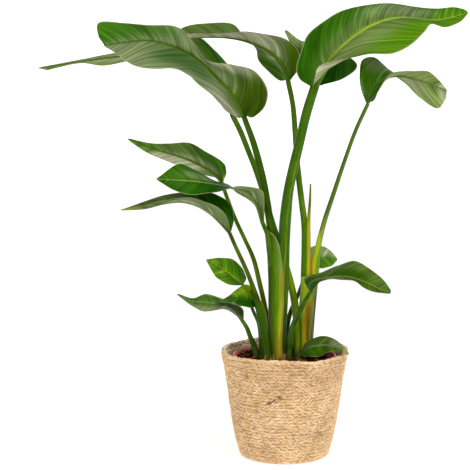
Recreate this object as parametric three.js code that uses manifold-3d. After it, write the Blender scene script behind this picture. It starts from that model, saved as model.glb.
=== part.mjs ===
// Bird of paradise (Strelitzia) house plant in a braided straw basket. Millimetres, +Z up.
// The origin is the centre of the basket's underside. The front of the plant faces -Y.
import * as THREE from 'three';
import { mergeVertices } from 'three/addons/utils/BufferGeometryUtils.js';
import Module from 'manifold-3d';

const wasm = await Module();
wasm.setup();

// ---- driving dimensions ----
const FIT_GAP = 0.3; // clearance wherever two pieces meet

// basket: [height, outer radius] up the wall, then its courses of braid
const BASKET_PROFILE = [
  [0, 84], [8, 87.5], [31, 94], [55, 98.8], [78, 102.6], [101, 106.3], [125, 109], [148, 112.8],
  [172, 116.5], [184, 119.5], [200, 121],
];
const BASKET_WALL = 7;
const BASKET_HEIGHT = 200;
const BRAID_COURSES = 18;
const BRAID_RELIEF = 1.8; // how far each course stands out
const BASKET_SIDES = 32;
const RIM_WAVE = 1.6;

// film liner, plastic nursery pot and potting bark inside the basket
const LINER_THICKNESS = 1;
const LINER_TOP = 189;
const LINER_FLOOR_RADIUS = 76;
const POT_FLOOR_RADIUS = 68;
const POT_RIM_RADIUS = 98;
const POT_LIP = 3;
const POT_WALL = 1.6;
const POT_TOP = 191;
const POT_SIDES = 28;
const SOIL_TOP = 180;
const SOIL_LUMP = 3.2; // height of the bark chips' bumps
const HOLE_FLOOR = 148; // the stalks stand in holes down to here in the soil
const HOLE_SIDES = 10;

// leaves
const BLADE_THICKNESS = 1.0;
const MARGIN_THICKNESS = 0.8;
const RIDGE_TIP_WIDTH = 1.6; // the midrib's half-width at the blade's tip
const LEAST_FOLD = 0.5; // a half-blade runs at least this far in depth for its seen width
const MARGIN_WAVE = 0.03; // ruffle of the margin as a share of the half-width
const STALK_SIDES = 9;
const STALK_GROOVE = 0.24; // depth of the groove along a stalk, as a share of its radius

const COLOURS = {
  upper: 0x3c6e17,
  stalk: 0x4c8420,
  spear: 0x7a9a2e,
  basket: 0xd8b27e,
  liner: 0xd3cfcb,
  pot: 0xc9765c,
  soil: 0x3b241a,
};

// The leaves were laid out on a front elevation seen from this station point: an (across, up)
// pair lies in the plane y = 0, and a point at another depth slides along its sight line.
const STATION_POINT = new THREE.Vector3(-94, -2400, 680);

// Each leaf: midrib [across, up, depth] from the base of the blade to its tip; the two margins
// [across, up] station by station, with the depth coming from the blade's true half-width; and
// the stalk [across, up, depth, diameter] from the blade down to the soil.
const LEAVES = [
  {
    name: 'upper_left', halfWidth: 62, near: 'left', arch: 4,
    midrib: [
      [-74, 643, -40], [-79, 650, -41], [-85, 661, -43], [-92, 673, -46], [-105, 691, -50],
      [-124, 711, -55], [-146, 734, -60], [-166, 750, -62], [-191, 764, -62], [-222, 776, -60],
      [-257, 783, -56], [-300, 779, -50], [-337, 774, -45],
    ],
    left: [
      [-72, 646], [-59, 641], [-38, 661], [-33, 691], [-55, 724], [-98, 737], [-146, 748], [-172, 781],
      [-203, 807], [-252, 811], [-303, 815], [-348, 814], [-346, 783],
    ],
    right: [
      [-79, 642], [-88, 639], [-101, 646], [-111, 654], [-124, 667], [-141, 684], [-161, 702],
      [-183, 721], [-211, 730], [-245, 730], [-284, 737], [-319, 761], [-339, 773],
    ],
    stalk: [
      [-73, 643, -40, 10.3], [-58, 589, -30, 12.2], [-43, 531, -22, 14.1], [-32, 470, -14, 15.1],
      [-24, 410, -6, 15.2], [-20, 334, 3, 15.2], [-19, 257, 12, 16.2], [-18, 189, 18, 17.2],
    ],
  },
  {
    name: 'far_left', halfWidth: 50, near: 'left', arch: 4,
    midrib: [
      [-96, 646, 22], [-105, 669, 40], [-120, 695, 62], [-144, 724, 82], [-181, 748, 94],
      [-233, 759, 100], [-304, 754, 98], [-375, 745, 88], [-460, 732, 70],
    ],
    left: [
      [-94, 650], [-92, 691], [-101, 728], [-133, 765], [-161, 789], [-215, 778], [-311, 762],
      [-375, 748], [-453, 734],
    ],
    right: [
      [-100, 646], [-122, 665], [-146, 693], [-170, 711], [-211, 735], [-271, 745], [-338, 737],
      [-382, 740], [-451, 726],
    ],
    stalk: [
      [-93, 641, 22, 10.5], [-80, 613, 26, 10.6], [-67, 578, 30, 10.6], [-55, 542, 34, 10.6],
      [-41, 501, 38, 11.6], [-24, 444, 41, 11.6], [-6, 387, 44, 12.6], [10, 334, 44, 13.5],
      [20, 286, 40, 14.5], [24, 238, 37, 15.4], [24, 189, 34, 15.4],
    ],
  },
  {
    name: 'top_back', halfWidth: 44, near: 'left', arch: 4,
    midrib: [
      [7, 710, 25], [1, 726, 24], [-10, 745, 24], [-27, 761, 25], [-51, 774, 27], [-79, 784, 30],
      [-113, 789, 32], [-150, 789, 34], [-181, 788, 35], [-211, 791, 35],
    ],
    left: [
      [10, 711], [23, 730], [25, 761], [4, 782], [-29, 793], [-64, 798], [-100, 796], [-140, 796],
      [-174, 795], [-207, 793],
    ],
    right: [
      [3, 709], [-12, 709], [-33, 727], [-51, 746], [-55, 768], [-79, 792], [-100, 813], [-150, 814],
      [-185, 808], [-209, 796],
    ],
    stalk: [
      [7, 705, 25, 9.6], [14, 663, 30, 9.6], [18, 619, 34, 10.6], [21, 576, 38, 10.6],
      [25, 533, 42, 11.6], [31, 485, 45, 11.6], [37, 438, 48, 12.6], [38, 391, 48, 13.6],
      [37, 314, 47, 15.5], [34, 247, 46, 17.4], [33, 189, 46, 17.4],
    ],
  },
  {
    name: 'upper_right', halfWidth: 62, near: 'right', arch: 4, curl: { side: 'right', from: 0.02, to: 0.42, depth: 26 },
    midrib: [
      [48, 697, -50], [57, 715, -51], [70, 734, -52], [86, 754, -54], [106, 774, -56], [130, 793, -58],
      [158, 810, -60], [188, 821, -60], [215, 825, -58], [245, 823, -55], [276, 820, -50],
      [308, 825, -45], [337, 834, -40],
    ],
    left: [
      [44, 698], [27, 711], [20, 730], [30, 768], [40, 791], [69, 816], [104, 838], [148, 847],
      [196, 849], [239, 845], [282, 841], [313, 843], [335, 838],
    ],
    right: [
      [51, 698], [55, 715], [62, 735], [90, 746], [123, 750], [160, 757], [198, 759], [231, 773],
      [258, 798], [269, 813], [297, 807], [323, 816], [337, 831],
    ],
    stalk: [
      [47, 692, -50, 16.7], [39, 650, -43, 16.8], [28, 600, -36, 17.8], [17, 555, -30, 18.8],
      [6, 504, -25, 18.8], [-1, 448, -20, 19.8], [-3, 400, -16, 20.8], [-7, 334, -12, 21.7],
      [-11, 257, -8, 22.7], [-14, 183, -6, 23.7],
    ],
  },
  {
    name: 'right_tall', halfWidth: 42, near: 'right', arch: 4, curl: { side: 'right', from: 0.05, to: 0.62, depth: 14 },
    midrib: [
      [152, 667, 12], [155, 678, 12], [161, 693, 11], [172, 708, 10], [189, 715, 9], [211, 718, 8],
      [235, 713, 7], [260, 706, 6], [282, 697, 5], [301, 689, 5],
    ],
    left: [
      [150, 669], [143, 687], [138, 717], [142, 746], [164, 751], [196, 724], [223, 702], [251, 676],
      [285, 657], [301, 678],
    ],
    right: [
      [154, 669], [167, 674], [174, 691], [185, 711], [202, 722], [218, 727], [243, 725], [267, 725],
      [285, 710], [301, 691],
    ],
    stalk: [
      [153, 664, 12, 7.6], [132, 617, 18, 7.7], [110, 555, 26, 8.1], [91, 497, 33, 8.7],
      [74, 444, 38, 9.7], [64, 400, 42, 10.6], [59, 343, 47, 11.6], [53, 286, 52, 13.6],
      [48, 228, 56, 15.6], [46, 191, 58, 15.6],
    ],
  },
  {
    name: 'back', halfWidth: 36, near: 'left', arch: 4,
    midrib: [
      [61, 702, 32], [73, 724, 42], [68, 745, 54], [42, 761, 66], [17, 781, 78], [-1, 801, 88],
    ],
    left: [
      [57, 702], [36, 715], [31, 739], [21, 759], [8, 780], [-2, 798],
    ],
    right: [
      [64, 704], [109, 713], [133, 737], [79, 772], [28, 783], [1, 802],
    ],
    stalk: [
      [59, 697, 30, 11.5], [42, 645, 28, 11.5], [31, 598, 26, 11.5], [20, 551, 23, 12.5],
      [10, 504, 21, 12.5], [6, 457, 20, 12.5], [3, 410, 20, 13.4], [1, 334, 22, 14.4],
      [-3, 257, 26, 15.4], [-6, 191, 29, 15.4],
    ],
  },
  {
    name: 'mid_left_high', halfWidth: 38, near: 'left', arch: 4,
    midrib: [
      [-117, 521, 25], [-126, 530, 27], [-139, 540, 30], [-158, 551, 35], [-182, 562, 41],
      [-212, 572, 47], [-244, 581, 52], [-294, 600, 58],
    ],
    left: [
      [-115, 523], [-110, 538], [-113, 551], [-145, 575], [-178, 592], [-216, 592], [-253, 592],
      [-292, 601],
    ],
    right: [
      [-120, 521], [-135, 529], [-152, 533], [-171, 539], [-197, 548], [-229, 562], [-259, 574],
      [-294, 598],
    ],
    stalk: [
      [-115, 517, 25, 7.7], [-110, 493, 26, 7.7], [-94, 451, 26, 7.7], [-75, 410, 24, 7.7],
      [-59, 374, 22, 8.6], [-47, 326, 23, 9.6], [-36, 276, 25, 9.6], [-31, 228, 27, 10.6],
      [-30, 191, 28, 10.6],
    ],
  },
  {
    name: 'mid_left_front', halfWidth: 36, near: 'left', arch: 4, curl: { side: 'left', from: 0.2, to: 0.62, depth: 9 },
    midrib: [
      [-41, 448, -34], [-51, 476, -42], [-68, 498, -50], [-92, 508, -58], [-117, 513, -65],
      [-143, 517, -68], [-173, 521, -78], [-207, 523, -90], [-241, 525, -102],
    ],
    left: [
      [-39, 451], [-39, 480], [-43, 504], [-83, 511], [-118, 503], [-143, 499], [-173, 495],
      [-209, 504], [-240, 523],
    ],
    right: [
      [-43, 449], [-55, 473], [-75, 491], [-94, 501], [-107, 515], [-135, 523], [-169, 542],
      [-197, 554], [-240, 527],
    ],
    stalk: [
      [-39, 444, -34, 8.1], [-30, 410, -30, 8.4], [-26, 356, -20, 9.4], [-26, 295, -8, 9.5],
      [-27, 238, 2, 10.5], [-26, 185, 8, 10.5],
    ],
  },
  {
    name: 'mid_left_low', halfWidth: 34, near: 'left', arch: 4,
    midrib: [
      [-102, 425, -35], [-118, 442, -35], [-139, 461, -36], [-165, 476, -37], [-196, 483, -38],
      [-229, 479, -40], [-263, 470, -42], [-308, 467, -45],
    ],
    left: [
      [-105, 428], [-111, 457], [-135, 476], [-165, 487], [-197, 490], [-229, 485], [-263, 476],
      [-305, 468],
    ],
    right: [
      [-99, 428], [-96, 451], [-105, 480], [-137, 499], [-182, 501], [-220, 496], [-258, 485],
      [-305, 468],
    ],
    stalk: [
      [-101, 422, -35, 7.5], [-94, 400, -33, 7.5], [-73, 354, -25, 8.5], [-58, 316, -20, 9.4],
      [-48, 286, -16, 11.3], [-42, 251, -12, 13.2], [-37, 212, -10, 15.1], [-34, 183, -8, 17],
    ],
  },
  {
    name: 'small_left_high', halfWidth: 30, near: 'left', arch: 4,
    midrib: [
      [-78, 325, 15], [-86, 332, 14], [-98, 341, 12], [-111, 351, 9], [-126, 360, 6], [-148, 372, 2],
    ],
    left: [
      [-82, 324], [-100, 324], [-119, 331], [-133, 343], [-141, 357], [-148, 370],
    ],
    right: [
      [-74, 327], [-73, 339], [-81, 356], [-96, 372], [-119, 376], [-147, 373],
    ],
    stalk: [
      [-76, 322, 15, 5.7], [-67, 301, 20, 5.7], [-61, 278, 26, 6.7], [-50, 252, 34, 6.7],
      [-46, 228, 40, 7.7], [-44, 195, 44, 8.7],
    ],
  },
  {
    name: 'small_left_folded', halfWidth: 26, near: 'left', arch: 4,
    midrib: [
      [-52, 284, -5], [-66, 294, -10], [-81, 300, -16], [-96, 299, -22], [-111, 295, -28],
      [-130, 290, -35],
    ],
    left: [
      [-54, 283], [-67, 281], [-83, 284], [-100, 290], [-115, 290], [-128, 289],
    ],
    right: [
      [-51, 286], [-58, 318], [-75, 325], [-94, 313], [-111, 300], [-128, 290],
    ],
    stalk: [
      [-51, 281, -5, 6.6], [-47, 261, 2, 6.7], [-45, 234, 8, 7.6], [-43, 209, 12, 8.6],
      [-42, 185, 14, 9.6],
    ],
  },
  {
    name: 'low_left', halfWidth: 28, near: 'left', arch: 4,
    midrib: [
      [-78, 257, -5], [-89, 270, -10], [-106, 282, -18], [-128, 288, -28], [-151, 291, -38],
      [-174, 293, -46], [-203, 306, -58],
    ],
    left: [
      [-80, 257], [-94, 267], [-115, 278], [-137, 274], [-157, 274], [-176, 284], [-202, 304],
    ],
    right: [
      [-75, 260], [-79, 277], [-100, 291], [-124, 299], [-149, 307], [-172, 299], [-202, 307],
    ],
    stalk: [
      [-77, 254, -4, 7.6], [-71, 241, 5, 8.6], [-65, 225, 12, 9.5], [-58, 209, 18, 11.5],
      [-53, 189, 22, 12.5],
    ],
  },
  {
    name: 'low_right', halfWidth: 36, near: 'right', arch: 4,
    midrib: [
      [48, 313, -25], [47, 326, -27], [57, 335, -31], [78, 339, -38], [101, 348, -46], [125, 352, -55],
      [152, 343, -64], [177, 327, -72], [201, 309, -80],
    ],
    left: [
      [45, 313], [37, 332], [40, 340], [76, 343], [99, 361], [131, 370], [158, 359], [183, 336],
      [201, 311],
    ],
    right: [
      [50, 314], [61, 322], [69, 331], [82, 335], [105, 334], [131, 333], [150, 322], [173, 311],
      [200, 308],
    ],
    stalk: [
      [47, 309, -25, 7.5], [39, 293, -18, 8.5], [28, 270, -10, 9.5], [18, 251, -4, 10.4],
      [11, 222, 2, 12.4], [7, 183, 6, 14.3],
    ],
  },
  {
    name: 'small_right_back', halfWidth: 30, near: 'right', arch: 4,
    midrib: [
      [40, 355, 70], [52, 368, 76], [67, 375, 86], [83, 376, 96], [99, 373, 106],
    ],
    left: [
      [38, 357], [42, 389], [59, 399], [82, 393], [98, 376],
    ],
    right: [
      [44, 354], [57, 354], [72, 356], [88, 360], [98, 370],
    ],
    stalk: [
      [39, 351, 70, 6.8], [32, 324, 72, 6.8], [24, 301, 72, 7.8], [12, 274, 72, 8.8],
      [5, 243, 70, 9.8], [1, 197, 66, 10.7],
    ],
  },
  {
    name: 'rim_right', halfWidth: 28, near: 'right', arch: 4,
    midrib: [
      [32, 194, -2], [47, 205, -12], [66, 212, -24], [87, 212, -38], [106, 204, -50], [123, 191, -60],
    ],
    left: [
      [31, 196], [41, 213], [62, 223], [89, 224], [108, 207], [122, 193],
    ],
    right: [
      [35, 193], [53, 187], [72, 189], [93, 197], [108, 192], [121, 190],
    ],
    stalk: [
      [30, 191, 0, 7.6], [27, 185, 2, 8.6], [26, 180, 4, 9.5],
    ],
  },
];

// The rolled new leaf: [across, up, depth, diameter] from its dry point down to the soil.
const SPEAR = [
  [48, 516, 30, 2.7], [47, 485, 34, 4.8], [45, 448, 37, 6.7], [45, 410, 38, 7.6], [45, 362, 38, 8.6],
  [44, 314, 36, 9.5], [43, 257, 31, 11.4], [41, 185, 28, 12.3],
];

// Fans of stalks whose feet clasp each other: each is cut clear of the ones before it.
const FANS = [
  ['upper_right', 'mid_left_low', 'upper_left', 'mid_left_front', 'back', 'mid_left_high'],
  ['top_back', 'far_left', 'right_tall', 'spear'],
];

// ---- geometry helpers ----

function at(across, up, depth) {
  const onPlane = new THREE.Vector3(across, 0, up);
  const reach = (depth - STATION_POINT.y) / -STATION_POINT.y;
  return onPlane.sub(STATION_POINT).multiplyScalar(reach).add(STATION_POINT);
}

function geometryOf(points, triangles) {
  const geometry = new THREE.BufferGeometry();
  const flat = points.flatMap((p) => [p.x, p.y, p.z]);
  geometry.setAttribute('position', new THREE.Float32BufferAttribute(flat, 3));
  geometry.setIndex(triangles.flat());
  return geometry;
}

function toSolid(geometry) {
  const bare = geometry.clone();
  bare.deleteAttribute('normal');
  bare.deleteAttribute('uv');
  const merged = mergeVertices(bare, 1e-4);
  const mesh = new wasm.Mesh({
    numProp: 3,
    vertProperties: new Float32Array(merged.attributes.position.array),
    triVerts: new Uint32Array(merged.index.array),
  });
  return new wasm.Manifold(mesh);
}

function fromSolid(solid) {
  const mesh = solid.getMesh();
  const geometry = new THREE.BufferGeometry();
  geometry.setAttribute('position', new THREE.Float32BufferAttribute(mesh.vertProperties, 3));
  geometry.setIndex(Array.from(mesh.triVerts));
  return geometry;
}

function largestBody(solid) {
  const bodies = solid.decompose();
  return bodies.reduce((best, body) => (body.volume() > best.volume() ? body : best));
}

function smooth(points) {
  return new THREE.CatmullRomCurve3(points, false, 'centripetal');
}

// Linear look-up in a list of [key, value] pairs.
function interpolate(pairs, key) {
  const last = pairs[pairs.length - 1];
  if (key >= last[0]) return last[1];
  const k = Math.max(1, pairs.findIndex((pair) => pair[0] > key));
  const [k0, v0] = pairs[k - 1];
  const [k1, v1] = pairs[k];
  return v0 + (v1 - v0) * Math.max(0, (key - k0) / (k1 - k0));
}

// ---- stalks ----

// Centre line, diameter and start direction of a stalk, carried straight down into its hole.
function stalkPath(rows, top, down) {
  const points = rows.map(([across, up, depth]) => at(across, up, depth));
  const widths = rows.map((row) => row[3]);
  if (top) points[0] = top;
  const foot = points[points.length - 1];
  points.push(new THREE.Vector3(foot.x, foot.y, foot.z - 6));
  points.push(new THREE.Vector3(foot.x, foot.y, HOLE_FLOOR));
  widths.push(widths[widths.length - 1], widths[widths.length - 1]);
  return { curve: smooth(points), widths, down };
}

// A tapering stalk with a groove along the side named by `grooveSide`.
function sweepStalk(path, grooveSide, grow = 0) {
  const { curve, widths, down } = path;
  const rings = widths.length + 1;
  const points = [];
  const reference = grooveSide.clone();
  for (let i = 0; i <= rings; i += 1) {
    const t = i / rings;
    const centre = curve.getPoint(t);
    const along = i === 0 && down ? down : curve.getTangent(t);
    reference.addScaledVector(along, -reference.dot(along)).normalize();
    const across = new THREE.Vector3().crossVectors(along, reference);
    const slot = Math.min(t * (widths.length - 1), widths.length - 1.0001);
    const k = Math.floor(slot);
    const radius = (widths[k] + (widths[k + 1] - widths[k]) * (slot - k)) / 2 + grow;
    for (let j = 0; j < STALK_SIDES; j += 1) {
      const angle = (2 * Math.PI * j) / STALK_SIDES;
      const r = j === 0 && grow === 0 ? radius * (1 - STALK_GROOVE) : radius;
      const point = centre.clone();
      point.addScaledVector(reference, r * Math.cos(angle));
      point.addScaledVector(across, r * Math.sin(angle));
      points.push(point);
    }
  }
  const triangles = [];
  for (let i = 0; i < rings; i += 1) {
    for (let j = 0; j < STALK_SIDES; j += 1) {
      const a = i * STALK_SIDES + j;
      const b = i * STALK_SIDES + ((j + 1) % STALK_SIDES);
      const c = a + STALK_SIDES;
      const d = b + STALK_SIDES;
      triangles.push([a, b, d], [a, d, c]);
    }
  }
  const firstCap = points.length;
  points.push(curve.getPoint(0), curve.getPoint(1));
  const lastRing = rings * STALK_SIDES;
  for (let j = 0; j < STALK_SIDES; j += 1) {
    const next = (j + 1) % STALK_SIDES;
    triangles.push([firstCap, next, j]);
    triangles.push([firstCap + 1, lastRing + j, lastRing + next]);
  }
  return geometryOf(points, triangles);
}

// ---- blades ----

// Share of the full half-width at t along the blade: quick to widen, slow to taper.
function fullness(t) {
  return Math.max(0.02, Math.sin(Math.PI * t ** 0.62)) ** 0.75;
}

// The margin's point in space: in front of or behind the midrib, at the true half-width.
function marginPoint(rib, across, up, depth, halfWidth, isNear) {
  const seen = at(across, up, depth).distanceTo(rib);
  const offset = Math.sqrt(Math.max((LEAST_FOLD * seen) ** 2, halfWidth ** 2 - seen ** 2));
  return at(across, up, depth + (isNear ? -offset : offset));
}

// The blade's three guiding curves, starting square to the stalk.
function bladeCurves(leaf) {
  const ribs = leaf.midrib.map(([across, up, depth]) => at(across, up, depth));
  const margins = {};
  for (const side of ['left', 'right']) {
    margins[side] = leaf[side].map(([across, up], k) => {
      const halfWidth = leaf.halfWidth * fullness(k / (ribs.length - 1));
      return marginPoint(ribs[k], across, up, leaf.midrib[k][2], halfWidth, leaf.near === side);
    });
  }
  const below = leaf.stalk[1];
  const start = ribs[1].clone().sub(at(below[0], below[1], below[2])).normalize();
  const across = margins.right[1].clone().sub(margins.left[1]);
  across.addScaledVector(start, -across.dot(start)).normalize();
  const reach = leaf.stalk[0][3] * 0.5;
  margins.left[0] = ribs[0].clone().addScaledVector(across, -reach);
  margins.right[0] = ribs[0].clone().addScaledVector(across, reach);
  const upper = new THREE.Vector3().crossVectors(across, start);
  return { rib: smooth(ribs), left: smooth(margins.left), right: smooth(margins.right), start, upper };
}

// Points across one section, left margin to right margin, of the blade's middle surface: each
// half runs from the edge of the midrib's ridge, which lies square to the midrib, to its margin.
function bladeSection(leaf, curves, t, columns) {
  const rib = curves.rib.getPoint(t);
  const along = t === 0 ? curves.start : curves.rib.getTangent(t);
  const margins = { left: curves.left.getPoint(t), right: curves.right.getPoint(t) };
  const level = Math.min(t, 0.88);
  const square = curves.right.getPoint(level).sub(curves.left.getPoint(level));
  square.addScaledVector(along, -square.dot(along)).setLength(ridgeHalfWidth(leaf, t));
  const halves = {};
  for (const side of ['left', 'right']) {
    const inner = square.clone().multiplyScalar(side === 'left' ? -1 : 1);
    const outer = margins[side].sub(rib);
    if (t === 1 || outer.length() < inner.length() * 1.6) outer.copy(inner).multiplyScalar(1.6);
    const lift = new THREE.Vector3().crossVectors(outer, along).normalize();
    if (side === 'left') lift.negate();
    const wave = Math.sin(t * 23 + leaf.halfWidth) * MARGIN_WAVE * leaf.halfWidth * Math.sin(Math.PI * t);
    const arch = leaf.arch * Math.sin(Math.PI * t) - curlDepth(leaf, side, t);
    const half = [];
    for (let c = 0; c <= columns; c += 1) {
      const f = c / columns;
      const point = rib.clone().addScaledVector(inner, 1 - f).addScaledVector(outer, f);
      point.addScaledVector(lift, 2 * f * (1 - f) * arch + f * f * wave);
      half.push(point);
    }
    halves[side] = half;
  }
  return [...halves.left.reverse(), rib, ...halves.right];
}

// How far a half-blade is cupped at t, where the leaf's list of curls says so.
function curlDepth(leaf, side, t) {
  if (!leaf.curl || leaf.curl.side !== side) return 0;
  const { from, to, depth } = leaf.curl;
  if (t <= from || t >= to) return 0;
  return depth * Math.sin((Math.PI * (t - from)) / (to - from));
}

function ridgeHalfWidth(leaf, t) {
  return RIDGE_TIP_WIDTH + (leaf.stalk[0][3] * 0.45 - RIDGE_TIP_WIDTH) * (1 - t) ** 2.5;
}

function ridgeHeight(leaf, t) {
  return 0.4 + (leaf.stalk[0][3] * 0.7 - 0.4) * (1 - t) ** 3;
}

function gridNormals(points, rows, columns) {
  const normals = points.map(() => new THREE.Vector3());
  for (let i = 0; i < rows; i += 1) {
    for (let j = 0; j < columns; j += 1) {
      const a = i * (columns + 1) + j;
      const b = a + 1;
      const c = a + columns + 1;
      const d = c + 1;
      const p = points[b].clone().sub(points[c]);
      const q = points[d].clone().sub(points[a]);
      const face = new THREE.Vector3().crossVectors(p, q);
      for (const k of [a, b, c, d]) normals[k].add(face);
    }
  }
  return normals.map((n) => n.normalize());
}

// Gives the whole of the tip's row one normal, square to the row.
function levelTip(normals, points) {
  const row = points[points.length - 1].clone().sub(points[0]).normalize();
  const mean = new THREE.Vector3();
  for (const normal of normals) mean.add(normal);
  mean.addScaledVector(row, -mean.dot(row)).normalize();
  for (const normal of normals) normal.copy(mean);
}

// A thin closed sheet with both faces split alike, and the midrib's ridge along its underside.
function bladeGeometry(leaf, curves) {
  const rows = leaf.halfWidth > 43 ? 16 : leaf.halfWidth > 31 ? 13 : 10;
  const columnsPerHalf = 4;
  const columns = 2 * (columnsPerHalf + 1);
  const middle = [];
  for (let i = 0; i <= rows; i += 1) {
    middle.push(...bladeSection(leaf, curves, i / rows, columnsPerHalf));
  }
  const normals = gridNormals(middle, rows, columns);
  for (const normal of normals.slice(0, columns + 1)) {
    normal.addScaledVector(curves.start, -normal.dot(curves.start)).normalize();
  }
  levelTip(normals.slice(-columns - 1), middle.slice(-columns - 1));
  const upperFace = [];
  const lowerFace = [];
  middle.forEach((point, index) => {
    const i = Math.floor(index / (columns + 1));
    const outward = Math.abs((index % (columns + 1)) - columns / 2) / (columns / 2);
    const half = (BLADE_THICKNESS + (MARGIN_THICKNESS - BLADE_THICKNESS) * outward) / 2;
    const ridge = outward === 0 ? ridgeHeight(leaf, i / rows) : 0;
    upperFace.push(point.clone().addScaledVector(normals[index], half));
    lowerFace.push(point.clone().addScaledVector(normals[index], -half - ridge));
  });
  const below = middle.length;
  const triangles = [];
  const wall = (a, b) => triangles.push([a, b, b + below], [a, b + below, a + below]);
  for (let i = 0; i < rows; i += 1) {
    for (let j = 0; j < columns; j += 1) {
      const a = i * (columns + 1) + j;
      const b = a + 1;
      const c = a + columns + 1;
      const d = c + 1;
      const shortAcross = middle[a].distanceTo(middle[d]) < middle[b].distanceTo(middle[c]);
      const pair = shortAcross ? [[a, b, d], [a, d, c]] : [[a, b, c], [b, d, c]];
      for (const [p, q, r] of pair) {
        triangles.push([p, q, r], [p + below, r + below, q + below]);
      }
    }
    wall(i * (columns + 1), (i + 1) * (columns + 1));
    wall((i + 1) * (columns + 1) + columns, i * (columns + 1) + columns);
  }
  for (let j = 0; j < columns; j += 1) {
    wall(j + 1, j);
    wall(rows * (columns + 1) + j, rows * (columns + 1) + j + 1);
  }
  return geometryOf([...upperFace, ...lowerFace], triangles);
}

// ---- basket and what stands in it ----

function lathe(profile, sides) {
  const points = profile.map(([radius, height]) => new THREE.Vector2(radius, height));
  const geometry = new THREE.LatheGeometry(points, sides);
  geometry.rotateX(Math.PI / 2);
  return geometry;
}

// Gives every point of a lathed piece a new radius and height that vary round it.
function reshape(geometry, move) {
  const positions = geometry.attributes.position;
  for (let i = 0; i < positions.count; i += 1) {
    const x = positions.getX(i);
    const y = positions.getY(i);
    const radius = Math.hypot(x, y);
    if (radius < 1e-6) continue;
    const angle = Math.round((Math.atan2(y, x) / Math.PI) * 1e5) / 1e5;
    const turned = (angle === -1 ? 1 : angle) * Math.PI;
    const [newRadius, newHeight] = move(radius, positions.getZ(i), turned);
    positions.setXYZ(i, Math.cos(turned) * newRadius, Math.sin(turned) * newRadius, newHeight);
  }
  return geometry;
}

function basketGeometry() {
  const outer = [];
  const course = BASKET_HEIGHT / BRAID_COURSES;
  for (let k = 0; k < BRAID_COURSES; k += 1) {
    for (const [share, relief] of [[0, -BRAID_RELIEF], [0.5, 0]]) {
      const height = (k + share) * course;
      outer.push([interpolate(BASKET_PROFILE, height) + relief, height]);
    }
  }
  outer[0][1] = 0;
  const rim = interpolate(BASKET_PROFILE, BASKET_HEIGHT);
  const inner = [];
  for (const height of [BASKET_HEIGHT - 2, 125, 55, BASKET_WALL]) {
    inner.push([interpolate(BASKET_PROFILE, height) - BASKET_WALL, height]);
  }
  const profile = [[0, 0], ...outer, [rim - BRAID_RELIEF, BASKET_HEIGHT], ...inner, [0, BASKET_WALL]];
  return reshape(lathe(profile, BASKET_SIDES), (radius, height, angle) => {
    const swell = Math.sin(3 * angle + 1) + 0.6 * Math.sin(7 * angle);
    const share = height / BASKET_HEIGHT;
    const isFlat = height < BASKET_WALL + 0.01;
    return [radius + (isFlat ? 0 : 0.6 * swell * share), height + RIM_WAVE * swell * share ** 6];
  });
}

// Inside radius of the basket at a height, less a clearance.
function insideBasket(height, clearance) {
  return interpolate(BASKET_PROFILE, height) - BASKET_WALL - clearance;
}

function linerGeometry() {
  const floor = BASKET_WALL + FIT_GAP;
  const heights = [22, 100, LINER_TOP];
  const outside = heights.map((height) => [insideBasket(height, 2.2), height]);
  const inside = heights.map((height) => [insideBasket(height, 2.2) - LINER_THICKNESS, height]);
  const profile = [
    [0, floor], [LINER_FLOOR_RADIUS, floor], ...outside,
    ...inside.reverse(), [LINER_FLOOR_RADIUS - LINER_THICKNESS, floor + LINER_THICKNESS],
    [0, floor + LINER_THICKNESS],
  ];
  return reshape(lathe(profile, BASKET_SIDES), (radius, height, angle) => {
    const share = Math.max(0, (height - 60) / (LINER_TOP - 60));
    const crease = Math.sin(9 * angle) + 0.7 * Math.sin(14 * angle + 2);
    return [radius - 1.1 * share * (1 + 0.3 * crease), height + 2.4 * share ** 4 * crease];
  });
}

const POT_FLOOR = BASKET_WALL + LINER_THICKNESS + 2 * FIT_GAP;

function potGeometry() {
  const foot = POT_FLOOR;
  const profile = [
    [0, foot], [POT_FLOOR_RADIUS, foot], [POT_RIM_RADIUS - POT_LIP - 2, POT_TOP - 14],
    [POT_RIM_RADIUS, POT_TOP - 13], [POT_RIM_RADIUS + 0.5, POT_TOP],
    [POT_RIM_RADIUS - POT_LIP, POT_TOP], [POT_RIM_RADIUS - POT_LIP - 1.5, POT_TOP - 13],
    [POT_RIM_RADIUS - POT_LIP - 2 - POT_WALL, POT_TOP - 15],
    [POT_FLOOR_RADIUS - POT_WALL, foot + POT_WALL], [0, foot + POT_WALL],
  ];
  return lathe(profile, POT_SIDES);
}

// Bumps of the bark chips over the soil's top.
function chipHeight(radius, angle) {
  const x = radius * Math.cos(angle);
  const y = radius * Math.sin(angle);
  const coarse = Math.sin(x * 0.31 + 1.3 * Math.sin(y * 0.17)) * Math.cos(y * 0.37 - 0.8);
  const fine = Math.sin(x * 0.83 - y * 0.59 + 2.1);
  return SOIL_LUMP * (0.6 * coarse + 0.4 * fine);
}

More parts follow.
